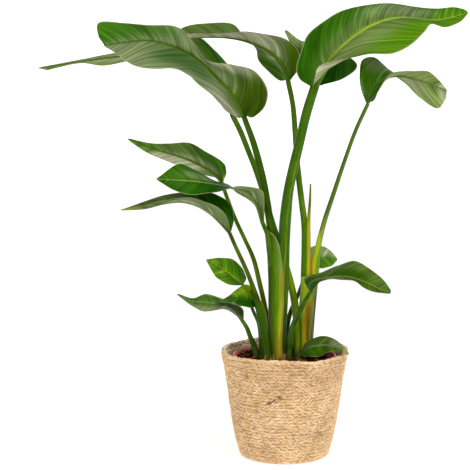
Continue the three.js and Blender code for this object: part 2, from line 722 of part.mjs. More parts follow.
function soilGeometry(stalkPaths) {
  const floor = POT_FLOOR + POT_WALL + FIT_GAP;
  const floorRadius = POT_FLOOR_RADIUS - POT_WALL - FIT_GAP;
  const wallTop = POT_TOP - 15;
  const topRadius = POT_RIM_RADIUS - POT_LIP - 2 - POT_WALL - FIT_GAP * 1.4;
  const rings = [0.88, 0.7, 0.52, 0.34, 0.17].map((share) => [topRadius * share, SOIL_TOP]);
  const profile = [[0, floor], [floorRadius, floor], [topRadius, wallTop], ...rings, [0, SOIL_TOP]];
  const body = reshape(lathe(profile, POT_SIDES), (radius, height, angle) => {
    const isTop = height === SOIL_TOP;
    return [radius, isTop ? height + chipHeight(radius, angle) : height];
  });
  let soil = toSolid(body);
  for (const { curve, widths } of stalkPaths) {
    const radius = (widths[widths.length - 1] / 2 + 2 * FIT_GAP) / Math.cos(Math.PI / HOLE_SIDES);
    const foot = curve.getPoint(1);
    const hole = lathe([
      [0, HOLE_FLOOR - FIT_GAP], [radius, HOLE_FLOOR - FIT_GAP], [radius, foot.z + 60], [0, foot.z + 60],
    ], HOLE_SIDES);
    hole.translate(foot.x, foot.y, 0);
    soil = soil.subtract(toSolid(hole));
  }
  return fromSolid(largestBody(soil));
}

// ---- assembly ----

const group = new THREE.Group();
group.name = 'bird_of_paradise_in_basket';

function addPiece(name, geometry, colour, roughness) {
  const piece = geometry.index ? geometry : mergeVertices(geometry);
  piece.computeVertexNormals();
  const material = new THREE.MeshStandardMaterial({ color: colour, roughness, metalness: 0 });
  const mesh = new THREE.Mesh(piece, material);
  mesh.name = name;
  group.add(mesh);
}

const stalks = new Map();
for (const leaf of LEAVES) {
  const curves = bladeCurves(leaf);
  addPiece(`blade_${leaf.name}`, bladeGeometry(leaf, curves), COLOURS.upper, 0.45);
  const diameter = leaf.stalk[0][3];
  const top = curves.rib.getPoint(0);
  top.addScaledVector(curves.upper, -diameter * 0.35).addScaledVector(curves.start, -FIT_GAP);
  const path = stalkPath(leaf.stalk, top, curves.start.clone().negate());
  stalks.set(leaf.name, { path, groove: curves.upper });
}
stalks.set('spear', { path: stalkPath(SPEAR, null, null), groove: new THREE.Vector3(-1, 0, 0) });

const bodies = new Map();
for (const [name, { path, groove }] of stalks) {
  bodies.set(name, toSolid(sweepStalk(path, groove)));
}
for (const fan of FANS) {
  fan.forEach((name, index) => {
    for (const earlier of fan.slice(0, index)) {
      const { path, groove } = stalks.get(earlier);
      const clear = toSolid(sweepStalk(path, groove, FIT_GAP + 0.1));
      bodies.set(name, largestBody(bodies.get(name).subtract(clear)));
    }
  });
}
for (const [name, body] of bodies) {
  const isSpear = name === 'spear';
  addPiece(isSpear ? 'new_leaf_spear' : `stalk_${name}`, fromSolid(body),
    isSpear ? COLOURS.spear : COLOURS.stalk, 0.5);
}

addPiece('basket', basketGeometry(), COLOURS.basket, 0.9);
addPiece('liner', linerGeometry(), COLOURS.liner, 0.3);
addPiece('nursery_pot', potGeometry(), COLOURS.pot, 0.6);
addPiece('soil', soilGeometry([...stalks.values()].map(({ path }) => path)), COLOURS.soil, 1);

export default group;
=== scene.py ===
"""Bird of paradise house plant in a braided straw basket.

Every piece is in metres, with its place in its mesh. Sizes in the classes are in millimetres.
"""

import logging
import math
import random
from dataclasses import dataclass
from enum import Enum
from functools import cache
from typing import Callable, ClassVar, Sequence

import bpy
import numpy as np
from bpy.types import Material, Node, NodeSocket, NodeTree, Object
from mathutils import Matrix, Vector, noise


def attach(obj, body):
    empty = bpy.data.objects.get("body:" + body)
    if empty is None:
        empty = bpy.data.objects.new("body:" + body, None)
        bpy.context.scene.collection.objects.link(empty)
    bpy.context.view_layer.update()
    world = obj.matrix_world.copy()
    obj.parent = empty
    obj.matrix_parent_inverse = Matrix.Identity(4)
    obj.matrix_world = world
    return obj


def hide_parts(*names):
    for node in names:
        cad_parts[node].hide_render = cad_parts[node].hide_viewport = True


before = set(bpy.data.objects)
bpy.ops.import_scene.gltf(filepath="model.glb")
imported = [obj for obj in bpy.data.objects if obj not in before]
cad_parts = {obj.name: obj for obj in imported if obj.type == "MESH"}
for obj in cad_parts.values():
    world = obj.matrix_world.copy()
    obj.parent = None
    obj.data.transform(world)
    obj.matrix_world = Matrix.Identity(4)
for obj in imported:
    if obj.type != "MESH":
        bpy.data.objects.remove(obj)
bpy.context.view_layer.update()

LOG = logging.getLogger("plant")
MM = 0.001
BODY = "root"
SEED = 20
STATION_POINT = Vector((-94, -2400, 680))  # the leaves are laid out on y = 0 as seen from here, mm
WAX_LIGHT = "#c2dc66"  # the tint of the light that the plant's wax throws back

Pair = tuple[float, float]
Triple = tuple[float, float, float]
Quad = tuple[float, float, float, float]


class Shade(Enum):
    """A set of named colours, as sRGB hex values."""

    @property
    def rgba(self) -> Quad:
        """The colour in linear light."""
        return linear(self.value)


class Tone(Shade):
    """Colours of the plant."""

    BOTTLE = "#174a02"
    GRASS = "#33620a"
    FERN = "#3f5a06"
    STEM = "#2c5405"
    FRESH = "#4c780a"
    PALM = "#7f942e"
    LIME = "#93ab14"
    MOSS = "#50682f"
    OLIVE = "#76874a"
    SILVER = "#6f7d52"
    CREAM = "#a9aa8a"
    STRAW = "#b09c66"
    BARK = "#6b4a22"
    UMBER = "#3d2a08"
    LODEN = "#263a04"
    AMBER = "#a8701c"
    DULL = "#444d24"


class Straw(Shade):
    """Colours of the basket's braid, with a painted shade for the backing wall and a painted light for the
    strands inside it.
    """

    PALE = "#e9cba0"
    WARM = "#d5ae7c"
    DEEP = "#ab8150"
    FLECK = "#4f2c12"
    SHADOW = "#7a4a1c"
    # painted light for the strands inside the wall
    PAINTED_LIGHT = "#fbe9c8"


class Side(Enum):
    """A half of a blade, seen from its upper face with the tip away."""

    LEFT = "left"
    RIGHT = "right"


L, R = Side.LEFT, Side.RIGHT


@cache
def linear(hex_code: str) -> Quad:
    """Turns an sRGB hex value into linear RGBA.

    Args:
        hex_code: A colour such as "#3c6e17".

    Returns:
        Red, green, blue and alpha in linear light.
    """
    channels = [int(hex_code[k : k + 2], 16) / 255 for k in (1, 3, 5)]
    red, green, blue = (c / 12.92 if c <= 0.04045 else ((c + 0.055) / 1.055) ** 2.4 for c in channels)
    return (red, green, blue, 1.0)


def clamped(value: float, low: float = 0.0, high: float = 1.0) -> float:
    """The value, kept between two limits."""
    return min(max(value, low), high)


def mixed(first: Sequence[float], second: Sequence[float], share: float) -> Quad:
    """A colour between two, with `share` of the second."""
    return tuple(a + (b - a) * share for a, b in zip(first, second))


def blank_material(name: str) -> Material:
    """Starts a material with an empty node tree.

    Args:
        name: The material's name.

    Returns:
        The material, with no node in it.
    """
    material = bpy.data.materials.new(name)
    material.use_nodes = True
    material.node_tree.nodes.clear()
    return material


def node(tree: NodeTree, kind: str, inputs: dict[str | int, object], **settings: object) -> Node:
    """Adds a shader node with its settings, its sockets' values and its links.

    Args:
        tree: The node tree that it goes in.
        kind: Blender's name of the node type, without ShaderNode.
        inputs: Input socket to a plain value, to the output that feeds it, or to the node whose
            first output feeds it.
        **settings: The node's own properties.

    Returns:
        The new node.
    """
    made = tree.nodes.new("ShaderNode" + kind)
    for key, value in settings.items():
        setattr(made, key, value)
    for key, value in inputs.items():
        if isinstance(value, Node):
            value = value.outputs[0]
        if isinstance(value, NodeSocket):
            tree.links.new(value, made.inputs[key])
        else:
            made.inputs[key].default_value = value
    return made


# ---- modelling helpers ----


def select_only(piece: Object) -> None:
    """Makes the piece the only selected object, and the active one.

    Args:
        piece: The object.
    """
    bpy.ops.object.select_all(action="DESELECT")
    piece.select_set(True)
    bpy.context.view_layer.objects.active = piece


def tidy(piece: Object, angle: float = 45.0) -> None:
    """Merges doubles, points the faces outwards and shades the piece smooth.

    Args:
        piece: A mesh object.
        angle: Edges sharper than this many degrees stay sharp.
    """
    select_only(piece)
    bpy.ops.object.mode_set(mode="EDIT")
    bpy.ops.mesh.select_all(action="SELECT")
    bpy.ops.mesh.remove_doubles(threshold=1e-6)
    bpy.ops.mesh.normals_make_consistent(inside=False)
    bpy.ops.object.mode_set(mode="OBJECT")
    bpy.ops.object.shade_smooth_by_angle(angle=math.radians(angle))


def new_piece(
    name: str, points: Sequence[Sequence[float]], edges: Sequence[tuple[int, int]],
    faces: Sequence[tuple[int, ...]],
) -> Object:
    """Adds an object from its points and what joins them.

    Args:
        name: The new object's name.
        points: Its corners, in metres.
        edges: Pairs of corners.
        faces: Rings of corners.

    Returns:
        The object, at the origin.
    """
    mesh = bpy.data.meshes.new(name)
    mesh.from_pydata(points, edges, faces)
    piece = bpy.data.objects.new(name, mesh)
    bpy.context.scene.collection.objects.link(piece)
    return piece


def thickened(piece: Object, thickness: float, **settings: int) -> None:
    """Gives a sheet its wall.

    Args:
        piece: The sheet's object.
        thickness: The wall's thickness, in mm.
        **settings: The other settings of the Solidify modifier.
    """
    select_only(piece)
    wall = piece.modifiers.new("Wall", "SOLIDIFY")
    wall.thickness = thickness * MM
    for key, value in settings.items():
        setattr(wall, key, value)
    bpy.ops.object.modifier_apply(modifier=wall.name)


def stretchable_ball(segments: int, rings: int) -> Object:
    """Adds a ball 1 mm across, with its poles along X, for strands and shreds.

    Args:
        segments: Faces round it.
        rings: Faces from pole to pole.

    Returns:
        The ball's object.
    """
    bpy.ops.object.select_all(action="DESELECT")
    bpy.ops.mesh.primitive_uv_sphere_add(
        segments=segments, ring_count=rings, radius=0.5 * MM, calc_uvs=False
    )
    ball = bpy.context.object
    ball.data.transform(Matrix.Rotation(math.radians(90), 4, "Y"))
    return ball


def shaped_grid(name: str, columns: int, rows: int, place: Callable[[int, int], Vector]) -> Object:
    """Adds a grid and moves each of its corners to its place.

    Args:
        name: The new object's name.
        columns: Faces along the grid's first direction.
        rows: Faces along its second direction.
        place: Gives the point, in metres, for a column and a row.

    Returns:
        The grid's object, at the origin.
    """
    bpy.ops.object.select_all(action="DESELECT")
    bpy.ops.mesh.primitive_grid_add(x_subdivisions=columns, y_subdivisions=rows, size=1, calc_uvs=False)
    sheet = bpy.context.object
    sheet.name = sheet.data.name = name
    for corner in sheet.data.vertices:
        column = round((corner.co.x + 0.5) * columns)
        row = round((corner.co.y + 0.5) * rows)
        corner.co = place(column, row)
    return sheet


def turned(name: str, profile: Sequence[Pair], steps: int) -> Object:
    """Spins a profile of (radius, height) points, in mm, round the upright axis.

    Args:
        name: The new object's name.
        profile: Points from axis to axis.
        steps: Faces round the piece.

    Returns:
        A closed round piece.
    """
    points = [(radius * MM, 0.0, height * MM) for radius, height in profile]
    piece = new_piece(name, points, [(k, k + 1) for k in range(len(points) - 1)], [])
    select_only(piece)
    bpy.ops.object.mode_set(mode="EDIT")
    bpy.ops.mesh.select_all(action="SELECT")
    bpy.ops.mesh.spin(steps=steps, angle=2 * math.pi, center=(0, 0, 0), axis=(0, 0, 1))
    bpy.ops.object.mode_set(mode="OBJECT")
    tidy(piece)
    return piece


def reshaped(piece: Object, move: Callable[[float, float, float], Pair]) -> None:
    """Gives every point of a round piece a new radius and height.

    Args:
        piece: The mesh object.
        move: Takes radius and height in mm and the angle, and returns radius and height in mm.
    """
    for corner in piece.data.vertices:
        radius = math.hypot(corner.co.x, corner.co.y) / MM
        angle = math.atan2(corner.co.y, corner.co.x)
        new_radius, height = move(radius, corner.co.z / MM, angle)
        corner.co = polar(new_radius, angle, height)


def polar(radius: float, angle: float, height: float) -> Vector:
    """A point, in metres, from a radius and a height in mm and an angle."""
    return Vector((radius * math.cos(angle), radius * math.sin(angle), height)) * MM


def interpolate(pairs: Sequence[Pair], key: float) -> float:
    """Looks a value up, with straight lines between the given (key, value) pairs."""
    return float(np.interp(key, [pair[0] for pair in pairs], [pair[1] for pair in pairs]))


def paint(piece: Object, name: str, values: Sequence[Sequence[float]]) -> None:
    """Stores a value per vertex: colours in four numbers, or places in three.

    Args:
        piece: The mesh object.
        name: The attribute's name.
        values: One tuple for each vertex.
    """
    is_colour = len(values[0]) == 4
    kind, field = ("FLOAT_COLOR", "color") if is_colour else ("FLOAT_VECTOR", "vector")
    layer = piece.data.attributes.new(name, kind, "POINT")
    layer.data.foreach_set(field, np.asarray(values, dtype=np.float32).ravel())


def joined(pieces: Sequence[Object]) -> Object:
    """Joins several objects into the first one.

    Args:
        pieces: The mesh objects.

    Returns:
        The first object, which now holds them all.
    """
    select_only(pieces[0])
    for piece in pieces[1:]:
        piece.select_set(True)
    bpy.ops.object.join()
    return pieces[0]


def repeated(name: str, pattern: Object, places: Sequence[Matrix], colours: Sequence[Quad]) -> Object:
    """Copies one small shape to many places, as one mesh with a colour for each copy.

    Args:
        name: The new object's name.
        pattern: The shape that repeats; it is removed.
        places: One placing matrix for each copy, in metres.
        colours: One colour for each copy.

    Returns:
        The object that holds all the copies.
    """
    mesh = pattern.data
    count = len(mesh.vertices)
    corners = np.array([(*corner.co, 1.0) for corner in mesh.vertices])
    faces = [tuple(face.vertices) for face in mesh.polygons]
    points = np.concatenate([corners @ np.array(place).T[:, :3] for place in places])
    polygons = [tuple(v + k * count for v in face) for k in range(len(places)) for face in faces]
    piece = new_piece(name, points.tolist(), [], polygons)
    paint(piece, "tint", [colour for colour in colours for _ in range(count)])
    bpy.data.objects.remove(pattern)
    select_only(piece)
    bpy.ops.object.shade_smooth()
    return piece


def placed(centre: Vector, along: Vector, outward: Vector) -> Matrix:
    """A matrix that puts a shape's X along one direction and its Z outwards.

    Args:
        centre: Where the shape's own origin goes, in metres.
        along: The direction of the shape's X.
        outward: Roughly the direction of its Z.

    Returns:
        The placing matrix.
    """
    z_axis = outward.normalized()
    x_axis = (along - z_axis * along.dot(z_axis)).normalized()
    turn = Matrix((x_axis, z_axis.cross(x_axis), z_axis)).transposed().to_4x4()
    return Matrix.Translation(centre) @ turn


def finish_piece(piece: Object, material: Material | None, slot: str, replaces: Sequence[str]) -> None:
    """Gives a piece its material, hangs it on the body and hides the CAD nodes that it stands for.

    Args:
        piece: The finished mesh object.
        material: Its one material, or None where it has its materials already.
        slot: The name of a material slot; not used.
        replaces: CAD nodes that it stands for.
    """
    if material:
        piece.data.materials.clear()
        piece.data.materials.append(material)
    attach(piece, BODY)
    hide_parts(*replaces)
    LOG.info("%s: %d faces", piece.name, len(piece.data.polygons))


# ---- curves ----


class SmoothCurve:
    """A centripetal Catmull-Rom curve through points, as the plant's solids are laid on."""

    def __init__(self, points: Sequence[Vector]) -> None:
        """Keeps the points.

        Args:
            points: At least two points.
        """
        first = points[0] * 2 - points[1]
        last = points[-1] * 2 - points[-2]
        self.points = [first, *points, last]
        self.spans = len(points) - 1

    def point(self, t: float) -> Vector:
        """Finds a point of the curve.

        Args:
            t: From 0 at the first given point to 1 at the last.

        Returns:
            The point.
        """
        place = clamped(t) * self.spans
        k = min(int(place), self.spans - 1)
        weight = place - k
        near = self.points[k : k + 4]
        p0, p1, p2, p3 = near
        gap0, gap1, gap2 = (max((b - a).length, 1e-9) ** 0.5 for a, b in zip(near, near[1:]))
        start = ((p1 - p0) / gap0 - (p2 - p0) / (gap0 + gap1) + (p2 - p1) / gap1) * gap1
        end = ((p2 - p1) / gap1 - (p3 - p1) / (gap1 + gap2) + (p3 - p2) / gap2) * gap1
        bend = (p2 - p1) * 3 - start * 2 - end
        ease = (p1 - p2) * 2 + start + end
        return p1 + start * weight + bend * weight**2 + ease * weight**3

    def tangent(self, t: float) -> Vector:
        """The curve's direction at t."""
        low, high = max(t - 1e-4, 0.0), min(t + 1e-4, 1.0)
        return (self.point(high) - self.point(low)).normalized()


def at(across: float, up: float, depth: float) -> Vector:
    """A point, in metres, from its place on the front elevation and its depth, in mm."""
    reach = (depth - STATION_POINT.y) / -STATION_POINT.y
    return ((Vector((across, 0, up)) - STATION_POINT) * reach + STATION_POINT) * MM


def swept(
    name: str,
    centres: Sequence[Vector],
    radii: Sequence[float],
    reference: Vector,
    sides: int,
    section: Callable[[float, float], float],
) -> Object:
    """Sweeps a round section along a line of centres and closes both ends.

    Args:
        name: The new object's name.
        centres: The middle of each ring, in metres.
        radii: Each ring's radius, in metres.
        reference: The direction that the section's zero angle faces.
        sides: Faces round the section.
        section: Takes the angle and the share along the line, and returns a share of the radius.

    Returns:
        The tube, with its rings' order kept by the attribute "fibre".
    """
    rings = []
    facing = reference.copy()
    steps = len(centres) - 1
    for k, centre in enumerate(centres):
        along = (centres[min(k + 1, steps)] - centres[max(k - 1, 0)]).normalized()
        facing = (facing - along * facing.dot(along)).normalized()
        rings.append((centre, facing.copy(), along.cross(facing), radii[k]))
    length = sum((centres[k + 1] - centres[k]).length for k in range(steps))

    def place(column: int, row: int) -> Vector:
        """Finds a point of the tube; the first and last rows close its ends.

        Args:
            column: Number of the face round the section.
            row: Number of the ring, counting the closed ends.

        Returns:
            The point, in metres.
        """
        centre, front, side, radius = rings[clamped(row - 1, 0, steps)]
        if row in (0, steps + 2):
            return centre
        angle = 2 * math.pi * (column % sides) / sides
        r = radius * section(angle, (row - 1) / steps)
        return centre + front * (r * math.cos(angle)) + side * (r * math.sin(angle))

    tube = shaped_grid(name, sides, steps + 2, place)
    around = np.tile(np.arange(sides + 1) / sides, steps + 3)
    level = np.repeat((np.arange(steps + 3) - 1) / steps, sides + 1)
    around = np.minimum(around, 1 - around)
    fibre = np.stack([around * sides * 2, level.clip(0, 1) * length / MM, level.clip(0, 1)], 1)
    paint(tube, "fibre", fibre)
    return tube


# ---- finishes ----


@dataclass(frozen=True)
class LeafFinish:
    """Leathery leaf skin with fine parallel veins; the waxy underside is duller and paler."""

    name: str
    tint: str  # the attribute that holds the face's colour
    roughness: float
    pleat_shade: float  # contrast of the streaks between the veins
    vein_share: float  # painted shade and light of the pleats: contrast of the streaks between the veins, darker where the bump sinks
    glow: float  # share of the light that comes through
    vein_pitch: float = 13.0  # mm between main side veins
    middle_pitch: float = 4.6  # mm between the veins that lie between them
    fine_pitch: float = 1.6  # mm; the real ones are finer, but would not show
    vein_width: float = 0.055  # of a main vein, as a share of their pitch
    hem: Pair = (0.955, 0.985)  # where the margin's dry hem starts and is full, out from the midrib
    hem_colour: str = "#b4b283"
    hem_share: float = 0.55
    relief: float = 1.1  # mm

    def build(self) -> Material:
        """Builds the material from the blade's own tint and vein attributes.

        Returns:
            The material.
        """
        material = blank_material(self.name)
        tree = material.node_tree
        tint = node(tree, "Attribute", {}, attribute_name=self.tint)
        vein = node(tree, "Attribute", {}, attribute_name="vein").outputs["Vector"]
        streaks = [
            self.streak(tree, vein, *row)
            for row in (
                (self.vein_pitch, 0.011, self.pleat_shade),
                (self.middle_pitch, 0.016, self.pleat_shade * 0.55),
                (self.fine_pitch, 0.03, 0.1),
            )
        ]
        scale = (1 / self.vein_pitch, 0.004, 0.0)
        across = node(tree, "VectorMath", {0: vein, 1: scale}, operation="MULTIPLY")
        lines = node(
            tree, "TexVoronoi", {"Vector": across, "Scale": 1.0, "Randomness": 0.7},
            voronoi_dimensions="2D", feature="DISTANCE_TO_EDGE",
        )
        shade = node(tree, "MapRange", {
            "Value": lines.outputs["Distance"], "From Max": self.vein_width,
            "To Min": 1 + self.vein_share, "To Max": 1.0,
        })
        for _, share in streaks:
            shade = node(tree, "Math", {0: shade, 1: share}, operation="MULTIPLY")
        green = node(tree, "VectorMath", {0: tint.outputs["Color"], "Scale": shade}, operation="SCALE")
        place = node(tree, "SeparateXYZ", {"Vector": vein})
        hem = node(tree, "MapRange", {
            "Value": place.outputs["Z"], "From Min": self.hem[0], "From Max": self.hem[1],
            "To Max": self.hem_share,
        })
        colour = node(tree, "MixRGB", {"Fac": hem, "Color1": green, "Color2": linear(self.hem_colour)})
        # the two coarser streaks also make the bump, so their colour is painted shade and light on the
        # pleats
        height = node(tree, "Math", {0: streaks[0][0], 1: streaks[1][0]}, operation="ADD")
        bump = node(tree, "Bump", {"Height": height, "Strength": 0.7, "Distance": self.relief * MM})
        skin = node(tree, "BsdfPrincipled", {
            "Base Color": colour, "Normal": bump, "Roughness": self.roughness, "IOR": 1.45,
            "Specular IOR Level": 0.14, "Specular Tint": linear(WAX_LIGHT),
        })
        through = node(tree, "VectorMath", {0: green, 1: (1.25, 1.35, 0.5)}, operation="MULTIPLY")
        light = node(tree, "BsdfTranslucent", {"Color": through})
        both = node(tree, "MixShader", {"Fac": self.glow, 1: skin, 2: light})
        node(tree, "OutputMaterial", {"Surface": both})
        return material

    def streak(
        self, tree: NodeTree, vein: NodeSocket, pitch: float, length: float, contrast: float
    ) -> tuple[NodeSocket, Node]:
        """Adds light and dark streaks that run along the side veins; where they also raise the bump, they
        are painted shade in its hollows and painted light on its ridges.

        Args:
            tree: The material's node tree.
            vein: The vein attribute's output.
            pitch: Mean distance between streaks, in mm.
            length: Frequency along a vein, per mm.
            contrast: Change of brightness, up and down.

        Returns:
            The plain noise, and the factor on the colour.
        """
        where = node(tree, "VectorMath", {0: vein, 1: (1 / pitch, length, 0.0)}, operation="MULTIPLY")
        pattern = node(
            tree, "TexNoise", {"Vector": where, "Scale": 1.0, "Detail": 1.5, "Roughness": 0.5},
            noise_dimensions="2D",
        ).outputs["Fac"]
        share = node(tree, "MapRange", {
            "Value": pattern, "From Min": 0.38, "From Max": 0.62, "To Min": 1 - contrast,
            "To Max": 1 + contrast,
        })
        return pattern, share


@dataclass(frozen=True)
class FibreFinish:
    """Plant tissue or straw with fibres along the piece, coloured by the piece's own tint."""

    name: str
    roughness: float
    contrast: float
    bump: float
    coarse: float = 40.0  # patches per metre
    plain: str | None = None  # one colour, where the piece has no tints of its own
    sheen: float = 0.5
    grain: float = 22.0  # how many times finer the grain is than the patches

    def build(self) -> Material:
        """Builds the material from the tint attribute and a noise in the piece's own space.

        Returns:
            The material.
        """
        material = blank_material(self.name)
        tree = material.node_tree
        if self.plain:
            tint = node(tree, "RGB", {})
            tint.outputs[0].default_value = linear(self.plain)
        else:
            tint = node(tree, "Attribute", {}, attribute_name="tint")
        place = node(tree, "TexCoord", {}).outputs["Object"]
        patch = node(
            tree, "TexNoise", {"Vector": place, "Scale": self.coarse, "Detail": 4.0, "Roughness": 0.6}
        )
        grain = node(tree, "TexNoise", {"Vector": place, "Scale": self.coarse * self.grain, "Detail": 2.0})
        shares = [
            node(tree, "MapRange", {
                "Value": pattern.outputs["Fac"], "From Min": 0.3, "From Max": 0.7,
                "To Min": 1 - contrast, "To Max": 1 + contrast,
            })
            for pattern, contrast in ((patch, self.contrast), (grain, 0.15))
        ]
        shade = node(tree, "Math", {0: shares[0], 1: shares[1]}, operation="MULTIPLY")
        shaded = node(tree, "VectorMath", {0: tint.outputs["Color"], "Scale": shade}, operation="SCALE")
        bump = node(tree, "Bump", {
            "Height": grain.outputs["Fac"], "Strength": self.bump, "Distance": 0.5 * MM,
        })
        skin = node(tree, "BsdfPrincipled", {
            "Base Color": shaded, "Normal": bump, "Roughness": self.roughness, "IOR": 1.45,
            "Specular IOR Level": self.sheen,
        })
        node(tree, "OutputMaterial", {"Surface": skin})
        return material


@dataclass(frozen=True)
class StalkFinish:
    """Smooth waxy petiole with long fibres that darken and lighten its green."""

    name: str
    roughness: float = 0.38

    def build(self) -> Material:
        """Builds the material from the tint and fibre attributes.

        Returns:
            The material.
        """
        material = blank_material(self.name)
        tree = material.node_tree
        tint = node(tree, "Attribute", {}, attribute_name="tint")
        fibre = node(tree, "Attribute", {}, attribute_name="fibre").outputs["Vector"]
        stretched = node(tree, "VectorMath", {0: fibre, 1: (1.0, 0.03, 0.0)}, operation="MULTIPLY")
        streak = node(
            tree, "TexNoise", {"Vector": stretched, "Scale": 0.9, "Detail": 3.0, "Roughness": 0.6},
            noise_dimensions="2D",
        ).outputs["Fac"]
        share = node(tree, "MapRange", {
            "Value": streak, "From Min": 0.3, "From Max": 0.7, "To Min": 0.8, "To Max": 1.2,
        })
        shaded = node(tree, "VectorMath", {0: tint.outputs["Color"], "Scale": share}, operation="SCALE")
        bump = node(tree, "Bump", {"Height": streak, "Strength": 0.35, "Distance": 0.5 * MM})
        skin = node(tree, "BsdfPrincipled", {
            "Base Color": shaded, "Normal": bump, "Roughness": self.roughness, "IOR": 1.45,
            "Specular IOR Level": 0.18, "Specular Tint": linear(WAX_LIGHT),
        })
        node(tree, "OutputMaterial", {"Surface": skin})
        return material


@dataclass(frozen=True)
class MouldedPlastic:
    """Thin polypropylene with the soft sheen and faint flow marks of injection moulding."""

    name: str
    colour: str
    roughness: float = 0.45
    alpha: float = 1.0

    def build(self) -> Material:
        """Builds the material with a slow colour change and a fine bump.

        Returns:
            The material.
        """
        material = blank_material(self.name)
        tree = material.node_tree
        place = node(tree, "TexCoord", {}).outputs["Object"]
        flow = node(tree, "TexNoise", {"Vector": place, "Scale": 45.0, "Detail": 4.0}).outputs["Fac"]
        colour = node(tree, "ValToRGB", {"Fac": flow})
        base = linear(self.colour)
        dark, pale = colour.color_ramp.elements
        dark.color, dark.position = mixed(base, (0, 0, 0, 1), 0.35), 0.25
        pale.color, pale.position = mixed(base, (1, 1, 1, 1), 0.12), 0.75
        bump = node(tree, "Bump", {"Height": flow, "Strength": 0.3, "Distance": 1.0 * MM})
        skin = node(tree, "BsdfPrincipled", {
            "Base Color": colour, "Normal": bump, "Roughness": self.roughness, "IOR": 1.49,
            "Alpha": self.alpha,
        })
        node(tree, "OutputMaterial", {"Surface": skin})
        return material


# ---- leaves ----


@dataclass(frozen=True)
class Curl:
    """Where one half of a blade is cupped, as shares of its length, and how deep in mm."""

    side: Side
    start: float
    end: float
    depth: float


@dataclass(frozen=True)
class Patch:
    """A soft-edged change of tone on a blade: its middle and reach along and across it."""

    EDGE: ClassVar[float] = 7.0  # steepness of the soft edge

    tone: Tone
    along: float
    across: float
    reach_along: float
    reach_across: float
    strength: float = 1.0

    def share(self, along: float, across: float) -> float:
        """Finds how much of the patch shows at a point of the blade.

        Args:
            along: Share of the blade's length.
            across: Place across, from -1 to 1.

        Returns:
            The patch's share of the colour.
        """
        distance = math.hypot(
            (along - self.along) / self.reach_along, (across - self.across) / self.reach_across
        )
        return self.strength / (1 + math.exp((distance - 1) * self.EDGE))


@dataclass(frozen=True)
class Band:
    """A stripe of tone along a stalk, from -1 at its left to 1 at its right seen from the front.

    It shows from the height `low` to the height `high`, in mm.
    """

    FADE_IN: ClassVar[float] = 30.0  # mm
    FADE_OUT: ClassVar[float] = 50.0  # mm

    tone: Tone
    across: float
    reach: float
    low: float
    high: float
    strength: float = 1.0

    def share(self, across: float, height: float) -> float:
        """How much of the band shows at a point of the stalk."""
        fade = clamped((height - self.low) / self.FADE_IN) * clamped((self.high - height) / self.FADE_OUT)
        return self.strength * fade * math.exp(-(((across - self.across) / self.reach) ** 2))


def banded(colour: Quad, bands: Sequence[Band], across: float, height: float) -> Quad:
    """Lays stripes of tone over a colour.

    Args:
        colour: The plain colour.
        bands: The stripes, the last on top.
        across: Place from -1 at the left to 1 at the right.
        height: Height in mm.

    Returns:
        The colour with the stripes.
    """
    for band in bands:
        colour = mixed(colour, band.tone.rgba, band.share(across, height))
    return colour


@dataclass(frozen=True)
class LeafLook:
    """Tones of a blade's upper face, underside and midrib, and the patches on them.

    `lean` says how strongly the side veins of the left and the right half sweep to the tip.
    """

    upper: Tone
    under: Tone
    rib: Tone
    patches: tuple[Patch, ...]
    stalk: Tone = Tone.GRASS
    bands: tuple[Band, ...] = ()
    lean: Pair = (0.5, 0.5)


@dataclass(frozen=True)
class LeafPlan:
    """One leaf, laid out in mm on the front elevation.

    A station is (across, up, depth) of the midrib, then (across, up) of the left and of the right
    margin, from the blade's base to its tip. The stalk is (across, up, depth, diameter), downwards.
    """

    name: str
    half_width: float
    near: Side
    stations: tuple[tuple[float, ...], ...]
    stalk: tuple[Quad, ...]
    look: LeafLook
    curl: Curl | None = None
    arch: float = 4.0


